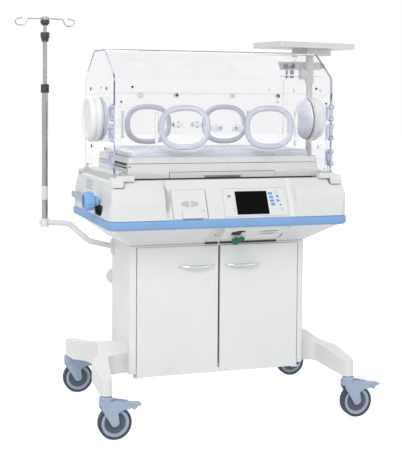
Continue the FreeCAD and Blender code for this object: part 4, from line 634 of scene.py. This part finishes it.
# Tilt knobs: lobed blue knobs on short necks. A darker disc with a raised rim is pressed into each face.
dress(blue_plastic, "tilt_knob_left", "tilt_knob_right")
FACE_RADIUS, FACE_DEEP = 0.0235, 0.006
for hand, sense in (("left", -1), ("right", 1)):
    low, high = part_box(f"tilt_knob_{hand}")
    middle = (low + high) / 2
    outer = low.x if sense < 0 else high.x
    face = add("cylinder", (deep_blue,), vertices=56, radius=FACE_RADIUS, depth=FACE_DEEP,
               location=(outer - sense * (FACE_DEEP / 2 + 0.0012), middle.y, middle.z),
               rotation=(0, sense * math.pi / 2, 0))
    step(face, is_end, ((0.0022, 0.0, 0), (0.0012, -0.0016, 0), (0.0110, 0.0, 0), (0.0020, 0.0010, 0)))
    soften(face, 0.0006, 2, 50)
    settle(face, f"knob_face_{hand}", f"knob_{hand}", "blue_plastic")


# Accessory rails: grey anodised flat bars along both ends.
rail_metal = coated("rail_metal", (0.38, 0.405, 0.45), (0.34, 0.365, 0.41), 0.38, 500, 0.00003, 0.55)
dress(rail_metal, "accessory_rails", "tilt_frame")


# Deck: the moulded bed base, the cassette drawer in its front, and the tray for the mattress.
deck_plastic = coated("deck_plastic", (0.565, 0.575, 0.565), (0.54, 0.55, 0.54), 0.44, 1200, 0.00007)
tray_plastic = coated("tray_plastic", (0.56, 0.57, 0.56), (0.535, 0.545, 0.535), 0.44, 1200, 0.00007)
dress(deck_plastic, "main_deck", "xray_drawer")
dress(tray_plastic, "mattress_tray")
# Painted shade: a dark strip fills the gap under the deck's front and rear edges, and dark lines are painted
# in the joint round the cassette drawer, where shade falls.
gap_painted_shade = coated("gap_painted_shade", (0.012, 0.016, 0.028), (0.020, 0.026, 0.040), 0.6, 700, 0.00004)
grip_shade = coated("grip_shade", (0.30, 0.29, 0.25), (0.24, 0.23, 0.20), 0.5, 700, 0.00004)
FOOT_SHADE_HALF, FOOT_SHADE_TALL, FOOT_SHADE_DEEP = 0.3740, 0.0054, 0.0050
low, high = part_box("xray_drawer")
foot_shade_z = low.z - 0.003
deck_shades = [on_wall(plate(gap_painted_shade, 2 * FOOT_SHADE_HALF, FOOT_SHADE_TALL, FOOT_SHADE_DEEP, 0.0010), 0,
                 face_at("main_deck", 0.3, foot_shade_z, sense) + sense * SKIN, foot_shade_z, sense)
         for sense in (-1, 1)]
DECK_FACE = face_at("main_deck", low.x - 0.012, low.z + 0.010)
drawer_mid, JOINT, JOINT_OUT = (low.z + high.z) / 2, 0.0018, 0.0012
for x, z, wide, tall in ((low.x - JOINT / 2, drawer_mid, JOINT, high.z - low.z),
                         (high.x + JOINT / 2, drawer_mid, JOINT, high.z - low.z),
                         ((low.x + high.x) / 2, high.z + JOINT / 2, high.x - low.x + 2 * JOINT, JOINT)):
    deck_shades.append(on_wall(plate(gap_painted_shade, wide, tall, JOINT_OUT, 0.0002, 0.0002), x, DECK_FACE, z, -1))
settle(merge(deck_shades), "deck_gap_shades", "root", "black_plastic")
# Painted shade fills the cassette drawer's grip recess, with a darker line at its foot.
GRIP_X, GRIP_Z, GRIP_WIDE, GRIP_TALL = -0.010, low.z + 0.0044, 0.146, 0.0076
grip_face = face_at("xray_drawer", GRIP_X, GRIP_Z) - SKIN
grip = [on_wall(plate(grip_shade, GRIP_WIDE, GRIP_TALL, 0.0006, 0.0010), GRIP_X, grip_face, GRIP_Z, -1),
        on_wall(plate(gap_painted_shade, GRIP_WIDE, 0.0018, 0.0010, 0.0004), GRIP_X, grip_face, low.z + 0.0014, -1)]
settle(merge(grip), "grip_recess_shade", "xray_drawer_body", "black_plastic")


# Mattress: a foam pad in a thin, pale blue-grey cover that is welded shut along its middle. The cover
# swells a little over the foam, lies flat on the tray and puckers along the weld.
mattress_cover = coated("mattress_cover", (0.475, 0.505, 0.565), (0.57, 0.595, 0.64), 0.30, 60, 0.0011,
                        patch=5.0)
low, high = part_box("mattress")
PAD_SIDE, PAD_UNDER, PAD_CAP, PAD_FRAMES = 0.007, 0.0006, 0.0065, 20
PAD_CORNER, PAD_EDGE, PAD_VOXEL, PAD_PROUD = 0.022, 0.008, 0.0055, 0.003
wide, deep, thick = high.x - low.x, high.y - low.y, high.z - low.z
pad = plate(mattress_cover, wide - 2 * PAD_SIDE, deep - 2 * PAD_SIDE, thick - PAD_CAP - PAD_UNDER,
            PAD_CORNER, PAD_EDGE)
pad.data.transform(Matrix.Translation(((low.x + high.x) / 2, (low.y + high.y) / 2, low.z + PAD_UNDER)))
remesh = pad.modifiers.new("remesh", "REMESH")
remesh.mode, remesh.voxel_size = "VOXEL", PAD_VOXEL
apply(pad, remesh)
start = [point.co.copy() for point in pad.data.vertices]
cloth = pad.modifiers.new("cloth", "CLOTH")
cloth.settings.use_pressure = True
cloth.settings.uniform_pressure_force = 4
cloth.settings.effector_weights.gravity = 0
cloth.settings.tension_stiffness = cloth.settings.compression_stiffness = 12
for frame_number in range(1, PAD_FRAMES + 1):
    bpy.context.scene.frame_set(frame_number)
swollen = pad.evaluated_get(bpy.context.evaluated_depsgraph_get()).data
moved = [point.co.copy() for point in swollen.vertices]
pad.modifiers.remove(cloth)
bpy.context.scene.frame_set(1)
for point, before, after in zip(pad.data.vertices, start, moved):
    away = after - before
    if away.length > PAD_CAP:
        away *= PAD_CAP / away.length
    point.co = before + away
WELD_PULL, WELD_TALL, WELD_RIM, PUCKER, SWELL = 0.0030, 0.0050, 0.020, 0.0009, 0.0012
weld_z = low.z + thick * 0.45
for point in pad.data.vertices:
    at = point.co
    rim = min(high.x - abs(at.x), high.y - abs(at.y))
    if rim < WELD_RIM:
        fold = PUCKER * math.sin(150 * (at.x + at.y)) * math.cos(61 * (at.x - at.y))
        pull = (WELD_PULL + fold) * math.exp(-((at.z - weld_z) / WELD_TALL) ** 2)
        at.x -= math.copysign(pull, at.x) * (high.x - abs(at.x) < WELD_RIM)
        at.y -= math.copysign(pull, at.y) * (high.y - abs(at.y) < WELD_RIM)
    at.z += SWELL * math.sin(17 * at.x + 2.0) * math.sin(13 * at.y + 1.0) * (at.z > weld_z)
    at.z = min(max(at.z, low.z + PAD_UNDER), high.z + PAD_PROUD)
smoother = pad.modifiers.new("smoother", "SUBSURF")
smoother.levels = smoother.render_levels = 1
apply(pad, smoother)
settle(pad, "mattress_pad", "tray_body", "foam", "mattress")


# Hood: thick clear acrylic, thermoformed in one piece. Beads along its end edges carry painted reflections,
# grey-blue with darker stretches, for the light that its polished edges gather.
iris_white = coated("iris_white", (0.86, 0.865, 0.865), (0.83, 0.84, 0.845), 0.36, 600, 0.0001)
white_nylon = coated("white_nylon", (0.74, 0.745, 0.74), (0.70, 0.705, 0.70), 0.40, 900, 0.00005)


def clear(name, tint, roughness):
    """Moulded acrylic: it bends the view, and the lamps' light goes straight through."""
    material, tree, shader = blank(name)
    shader.inputs["Base Color"].default_value = (*tint, 1)
    shader.inputs["Transmission Weight"].default_value = 1.0
    shader.inputs["IOR"].default_value = 1.16
    shader.inputs["Coat Weight"].default_value = 0.35
    shader.inputs["Coat Roughness"].default_value = 0.03
    link(tree, ranged(tree, noise(tree, 14, 3.0), roughness, roughness + 0.02), shader.inputs["Roughness"])
    rays = tree.nodes.new("ShaderNodeLightPath")
    through = tree.nodes.new("ShaderNodeBsdfTransparent")
    through.inputs["Color"].default_value = (*tint, 1)
    either = tree.nodes.new("ShaderNodeMixShader")
    link(tree, rays.outputs["Is Shadow Ray"], either.inputs[0])
    link(tree, shader.outputs[0], either.inputs[1])
    link(tree, through.outputs[0], either.inputs[2])
    link(tree, either.outputs[0], tree.nodes["Material Output"].inputs["Surface"])
    return material


clear_acrylic = clear("clear_acrylic", (0.952, 0.948, 0.957), 0.0)
dress(clear_acrylic, "hood", "front_access_panel", "rear_access_panel", "front_port_door_left",
      "front_port_door_right", "rear_port_door_left", "rear_port_door_right")
dress(shell_plastic, "hood_blocks", "iris_flanges")
# The beads' pale grey-blue and dark dashes are painted reflections of the polished acrylic edges.
edge_painted_reflection, tree, shader = blank("edge_painted_reflection")
dashes = ranged(tree, noise(tree, 15, 2.0), 0, 1, 0.54, 0.58)
link(tree, blended(tree, dashes, (0.52, 0.58, 0.72), (0.05, 0.07, 0.12)), shader.inputs["Base Color"])
link(tree, ranged(tree, noise(tree, 60), 0.14, 0.24), shader.inputs["Roughness"])
# Painted shade: dark plates under and beside each hood block, where shade falls between the block and the
# shell.
gap_shade = coated("gap_shade", (0.13, 0.125, 0.095), (0.09, 0.088, 0.07), 0.6, 700, 0.00004)
low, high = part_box("hood_blocks")
BLOCK_WIDE, LEAN_UP = 0.0454, (0.72, 0.693)
block_shades = []
for sense in (-1, 1):
    for hand in (-1, 1):
        inner_x = hand * (high.x - BLOCK_WIDE)
        for x, z, wide, tall in ((inner_x + hand * 0.018, low.z - 0.0020, 0.036, 0.0048),
                                 (inner_x - hand * 0.0030, low.z + 0.0085, 0.0060, 0.0270)):
            face_y = face_at("upper_shell", x, z, sense) + sense * SKIN
            block_shades.append(lay(plate(gap_shade, wide, tall, 0.0008, 0.0008), (x, face_y, z), (-sense, 0, 0),
                            (0, -sense * LEAN_UP[0], LEAN_UP[1])))
settle(merge(block_shades), "block_gap_shades", "root", "black_plastic")
low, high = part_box("hood")
SHOULDER_Z, ROOF_Y, BEAD, BEAD_IN = 1.3446, 0.090, 0.0019, 0.0024
beads = []
for end_x in (low.x + BEAD_IN, high.x - BEAD_IN):
    for sense in (-1, 1):
        wall_y = sense * (high.y - BEAD_IN)
        edge = ((wall_y, low.z + 0.002), (wall_y, (low.z + SHOULDER_Z) / 2), (wall_y, SHOULDER_Z - 0.03),
                (wall_y, SHOULDER_Z - 0.004), (sense * (high.y - 0.020), SHOULDER_Z + 0.010),
                (sense * (ROOF_Y + 0.022), high.z - 0.014), (sense * (ROOF_Y - 0.002), high.z - BEAD_IN),
                (sense * (ROOF_Y - 0.03), high.z - BEAD_IN), (0, high.z - BEAD_IN))
        beads.append(bar(edge_painted_reflection, [(end_x, y, z) for y, z in edge], BEAD, sides=3, order=3))
settle(merge(beads), "hood_edge_reflections", "root", "clear_acrylic")


# Screws: small dark screws with pale washers hold the inner wall and the hinges to the hood.
screw_dark = coated("screw_dark", (0.035, 0.040, 0.050), (0.06, 0.065, 0.075), 0.30, 900, 0.00002, 0.6)
WALL_OUT, END_OUT = 0.2462, 0.4490
WALL_SCREWS = ((-0.377, 1.303), (-0.420, 1.247), (0.377, 1.303), (0.420, 1.244))
END_SCREWS = ((-0.135, 1.297), (0.135, 1.297), (-0.120, 1.065), (0.120, 1.065))


def pin(finish, radius, deep, edge, out=0, vertices=28):
    """A short round pin that stands on the level plane, a distance out from it, with softened ends."""
    piece = add("cylinder", (finish,), vertices=vertices, radius=radius, depth=deep,
                location=(0, 0, out + deep / 2))
    soften(piece, edge, 2, 40)
    return piece


def screw(washer_radius, radius):
    """A pale washer and the dark screw head on it."""
    return pin(iris_white, washer_radius, 0.0012, 0.0005), pin(screw_dark, radius, 0.0030, 0.0005, 0.0008)


screws = []
for x, z in WALL_SCREWS:
    for sense in (-1, 1):
        screws += [on_wall(head, -sense * x, sense * WALL_OUT, z, sense) for head in screw(0.0068, 0.0042)]
for sense in (-1, 1):
    for y, z in END_SCREWS:
        screws += [on_end(head, sense * END_OUT, y, z, sense) for head in screw(0.0100, 0.0060)]
settle(merge(screws), "hood_screws", "root", "black_plastic")


# Panel fittings: on each fold-down panel, a hinge post outside each port, a turn latch with a knob
# between the ports, and two hooked latches at its top edge. They are white nylon.
FACE_OUT, INNER_FACE = 0.2524, 0.2458
POST_X, POST_OUT, LATCH_X, LATCH_DROP = 0.285, 0.2621, 0.043, 0.002
HOOK_X, HOOK_DROP, STUD_OFF = 0.208, 0.008, 0.003
for depth, sense, dot in (("front", -1, key_blue), ("rear", 1, screw_dark)):
    face_y, inner_y = sense * FACE_OUT, sense * INNER_FACE
    hook_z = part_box(f"{depth}_port_fittings")[1].z - HOOK_DROP
    low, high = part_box(f"{depth}_port_cuffs")
    mean_z = (low.z + high.z) / 2
    latch_z = mean_z - LATCH_DROP
    parts = []
    for hand in (-1, 1):
        post = [(hand * POST_X, sense * POST_OUT, mean_z + up) for up in (-0.052, -0.02, 0.02, 0.052)]
        parts.append(bar(white_nylon, post, 0.0038))
        for up in (-0.054, 0.054):
            foot = plate(white_nylon, 0.012, 0.009, 0.0150, 0.0030, 0.0012)
            parts.append(on_wall(foot, hand * POST_X, face_y, mean_z + up, sense))
        latch_x = hand * LATCH_X
        body = plate(white_nylon, 0.050, 0.025, 0.0085, 0.0100, 0.0022)
        parts.append(on_wall(body, latch_x, face_y, latch_z, sense))
        inner = plate(white_nylon, 0.036, 0.026, 0.0045, 0.0090, 0.0014)
        parts.append(on_wall(inner, latch_x, inner_y, latch_z, -sense))
        for up in (-0.0105, 0.0105):
            rivet = add("cylinder", (screw_dark,), vertices=20, radius=0.0030, depth=0.0060,
                        location=(0, 0, 0.0030))
            parts.append(on_wall(rivet, latch_x, inner_y, latch_z + up, -sense))
        nose = plate(white_nylon, 0.024, 0.016, 0.0110, 0.0065, 0.0022)
        parts.append(on_wall(nose, latch_x + hand * 0.012, face_y, latch_z, sense))
        knob = add("cylinder", (white_nylon, dot), vertices=36, radius=0.0085, depth=0.0140,
                   location=(0, 0, 0.0070))
        step(knob, lambda side: is_end(side) and side.normal.z > 0,
             ((0.0030, 0.0, 0), (0.0004, -0.0012, 1), (0.0030, 0.0012, 1)))
        soften(knob, 0.0007, 2, 50)
        parts.append(on_wall(knob, latch_x - hand * 0.010, face_y, latch_z, sense))
        hook_x = hand * HOOK_X
        curl = [(hook_x + 0.0115 * math.cos(math.radians(turn)), sense * (FACE_OUT + 0.0045),
                 hook_z + 0.0100 * math.sin(math.radians(turn))) for turn in range(40, 330, 36)]
        parts.append(bar(white_nylon, curl, 0.0026))
        washer = pin(white_nylon, 0.0095, 0.0010, 0.0003, vertices=32)
        stud = pin(screw_dark, 0.0042, 0.0080, 0.0006, 0.0010, 24)
        parts += [on_wall(piece, hook_x + STUD_OFF, face_y, hook_z, sense) for piece in (washer, stud)]
    settle(merge(parts), f"{depth}_fittings", f"{depth}_panel_body", "shell_plastic",
           f"{depth}_port_fittings")


# Cuffs and grommets: soft blue-grey silicone.
silicone = coated("silicone", (0.445, 0.475, 0.545), (0.52, 0.545, 0.61), 0.32, 200, 0.0002)
# The dark bars either side of each pale lip are painted shade, for the darker look of the translucent
# silicone along its edges.
grommet_painted_shade = coated("grommet_painted_shade", (0.16, 0.23, 0.40), (0.26, 0.33, 0.50), 0.30, 200, 0.0001)
grommet_pale = coated("grommet_pale", (0.44, 0.50, 0.64), (0.54, 0.59, 0.71), 0.30, 200, 0.0001)
low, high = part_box("tube_grommets")
SLOT_HEIGHTS, SLOT_HALF, LIP_THICK, PLUG_OUT = (1.206, 1.129, 1.027), 0.0235, 0.0050, 0.4430
grommets = []
for sense in (-1, 1):
    face_x = sense * (high.x - LIP_THICK / 2)
    for z in SLOT_HEIGHTS:
        for finish, thick, grow, out in ((grommet_pale, 0.0078, 0, 0), (grommet_painted_shade, 0.0024, 0.0070, 0.0008),
                                         (grommet_painted_shade, 0.0020, -0.0068, 0.0008)):
            tip = low.y + 0.001
            back = high.y - 0.0010 + grow
            half = SLOT_HALF + grow
            curl = [(tip, half), (tip + 0.016, half), (back - 0.014, half), (back, half - 0.012), (back, 0),
                    (back, 0.012 - half), (back - 0.014, -half), (tip + 0.016, -half), (tip, -half)]
            line = [(face_x + sense * out, y, z + up) for y, up in curl]
            grommets.append(bar(finish, line, thick, sides=4, order=3))
        plug = plate(grommet_pale, 0.034, 0.0352, 0.0105, 0.006, 0.0015)
        grommets.append(on_end(plug, sense * PLUG_OUT, low.y + 0.0185, z, sense))
settle(merge(grommets), "slot_grommets", "root", "silicone", "tube_grommets")
CUFF_WIDE, CUFF_THICK, CUFF_HALF = 0.022, 0.012, 0.104


def ring(middle, half_wide, half_tall, count=28, power=2.5):
    """Points round an upright oval with soft corners, in the plane of a panel."""
    points = []
    for place in range(count):
        angle = 2 * math.pi * place / count
        across, rise = math.cos(angle), math.sin(angle)
        points.append((middle[0] + half_wide * math.copysign(abs(across) ** (2 / power), across), middle[1],
                       middle[2] + half_tall * math.copysign(abs(rise) ** (2 / power), rise)))
    return points


for depth in ("front", "rear"):
    low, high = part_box(f"{depth}_port_cuffs")
    mean_y, mean_z = (low.y + high.y) / 2, (low.z + high.z) / 2
    half_tall = (high.z - low.z) / 2 - CUFF_WIDE / 2
    half_wide = CUFF_HALF - CUFF_WIDE / 2
    rings = []
    for x in (low.x + CUFF_HALF, high.x - CUFF_HALF):
        soft = bar(silicone, ring((x, 0, mean_z), half_wide, half_tall), CUFF_WIDE / 2, closed=True, sides=6)
        soft.scale = (1, CUFF_THICK / CUFF_WIDE, 1)
        soft.location = (0, mean_y, 0)
        rings.append(soft)
    settle(merge(rings), f"{depth}_cuffs", f"{depth}_panel_body", "silicone", f"{depth}_port_cuffs")


# Iris ports: a white ring turns on a flange at each end and twists a thin sleeve shut. The sleeve
# bulges into the hood as a soft, pleated dome of pale blue film.
dress(iris_white, "iris_ring_left", "iris_ring_right")
sleeve_film = coated("sleeve_film", (0.50, 0.525, 0.59), (0.58, 0.605, 0.66), 0.34, 220, 0.0002, patch=16.0)
DOME_RADIUS, DOME_BULGE, PLEATS, PLEAT_DEEP = 0.086, 0.032, 22, 0.0019
FLANGE_THICK, DOME_INSET = 0.014, 0.0070
low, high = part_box("iris_flanges")
for hand, sense in (("left", -1), ("right", 1)):
    dome = add("uv_sphere", (sleeve_film,), segments=132, ring_count=36, radius=DOME_RADIUS,
               location=(0, 0, 0))
    edit(dome)
    bpy.ops.mesh.select_all(action="SELECT")
    bpy.ops.mesh.bisect(plane_co=(0, 0, 0.0001), plane_no=(0, 0, 1), clear_inner=True)
    bpy.ops.object.mode_set(mode="OBJECT")
    for point in dome.data.vertices:
        at = point.co
        around, share = math.atan2(at.y, at.x), math.hypot(at.x, at.y) / DOME_RADIUS
        swirl = around + 1.1 * (1 - share)
        at.z = (at.z / DOME_RADIUS) ** 1.1 * DOME_BULGE if at.z > 0 else 0
        at.z += PLEAT_DEEP * math.cos(PLEATS * swirl) * math.sin(math.pi * min(1, share)) * (share > 0.02)
    thicken(dome, 0.0010)
    inner_x = sense * (high.x - FLANGE_THICK - DOME_INSET)
    on_end(dome, inner_x, 0, (low.z + high.z) / 2, -sense)
    settle(dome, f"sleeve_{hand}", "root", "silicone")


# Monitor shelf: enamelled sheet on a post. Its cross bar carries a round knob, a star knob and two bolts
# under them that clamp it to the post.
post_enamel = coated("post_enamel", (0.60, 0.61, 0.60), (0.57, 0.58, 0.57), 0.36, 700, 0.0001)
shelf_enamel = coated("shelf_enamel", (0.72, 0.73, 0.72), (0.69, 0.70, 0.69), 0.36, 700, 0.0001)
dress(shelf_enamel, "monitor_shelf")
dress(post_enamel, "shelf_post", "clamp_bar")
knob_dark = coated("knob_dark", (0.012, 0.016, 0.028), (0.020, 0.026, 0.040), 0.25, 700, 0.00004)
knob_slate = coated("knob_slate", (0.09, 0.12, 0.19), (0.16, 0.19, 0.27), 0.35, 700, 0.00004)
low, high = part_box("clamp_bar")
BAR_Z, KNOB_FACE = high.z - 0.0205, low.y + 0.0100
ball = add("uv_sphere", (knob_dark,), segments=36, ring_count=20, radius=0.0108,
           location=(low.x + 0.057, KNOB_FACE - 0.0060, BAR_Z))
star = add("cylinder", (knob_slate,), vertices=48, radius=0.0112, depth=0.0120,
           location=(low.x + 0.018, KNOB_FACE - 0.0062, BAR_Z), rotation=(math.pi / 2, 0, 0))
for point in star.data.vertices:
    lobe = 1 + 0.16 * math.cos(5 * math.atan2(point.co.y, point.co.x))
    point.co.x, point.co.y = point.co.x * lobe, point.co.y * lobe
soften(star, 0.0015, 2, 50)
cap = add("cylinder", (post_enamel, knob_dark), vertices=40, radius=0.0125, depth=0.0150,
          location=(high.x - 0.0020, low.y + 0.0340, (low.z + high.z) / 2 + 0.029),
          rotation=(0, math.pi / 2, 0))
step(cap, is_end, ((0.0020, 0.0, 1), (0.0030, 0.0008, 0)))
soften(cap, 0.0008, 2, 50)
bolts = [add("cylinder", (knob_slate,), vertices=28, radius=radius, depth=0.020,
             location=(x, low.y + 0.033, BAR_Z - 0.0270))
         for x, radius in ((low.x + 0.036, 0.0048), (low.x + 0.064, 0.0085))]
for bolt in bolts:
    soften(bolt, 0.0010, 2, 50)
settle(merge([ball, star, cap, *bolts]), "clamp_knobs", "root", "black_plastic")


# Drip pole: three steel tubes that slide in one another on a white arm, with black collars where they
# lock, a black hub under the hooks and a blank white sleeve round the lowest tube.
black_plastic = coated("black_plastic", (0.027, 0.036, 0.046), (0.036, 0.045, 0.056), 0.38, 900, 0.00008)
dress(white_enamel, "iv_arm")
dress(black_plastic, "iv_lower_collar")
dress(pole_steel, "iv_lower_tube", "iv_middle_tube", "iv_top_hooks")
low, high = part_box("iv_lower_tube")
POLE_X, POLE_Y, POLE_RADIUS = (low.x + high.x) / 2, (low.y + high.y) / 2, (high.x - low.x) / 2
LABEL_LOW, LABEL_HIGH, LABEL_OUT, LABEL_BORE = 0.843, 0.899, POLE_RADIUS + 0.0006, POLE_RADIUS + 0.0001
MIDDLE_BORE, TOP_BORE, HUB_DROP = 0.0098, 0.0072, 0.020


def sleeve(finish, low_z, high_z, radius, bore):
    """A collar round the drip pole, with softened ends and an open bore."""
    tube = add("cylinder", (finish,), vertices=48, radius=radius, depth=high_z - low_z,
               end_fill_type="NOTHING", location=(POLE_X, POLE_Y, (low_z + high_z) / 2))
    edit(tube)
    bpy.ops.mesh.select_all(action="SELECT")
    bpy.ops.mesh.normals_make_consistent(inside=False)
    bpy.ops.object.mode_set(mode="OBJECT")
    thicken(tube, radius - bore)
    soften(tube, 0.0012, 3, 50)
    return tube


label = sleeve(white_nylon, LABEL_LOW, LABEL_HIGH, LABEL_OUT, LABEL_BORE)
settle(label, "blank_sleeve", "root", "shell_plastic")
low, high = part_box("iv_middle_tube")
COLLAR_RADIUS = high.y - POLE_Y + 0.0004
collar = [sleeve(black_plastic, high.z + foot, high.z + head, COLLAR_RADIUS - slim, MIDDLE_BORE)
          for foot, head, slim in ((-0.034, -0.020, 0.0030), (-0.022, 0.0006, 0), (-0.038, -0.032, 0.0055))]
settle(merge(collar), "upper_collar", "iv_middle_body", "black_plastic")
hub_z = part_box("iv_top_hooks")[1].z - HUB_DROP
hub = [sleeve(black_plastic, hub_z + foot, hub_z + head, radius, TOP_BORE)
       for foot, head, radius in ((-0.010, 0.006, 0.0185), (-0.016, -0.009, 0.0135))]
settle(merge(hub), "hook_hub", "iv_top_body", "black_plastic")
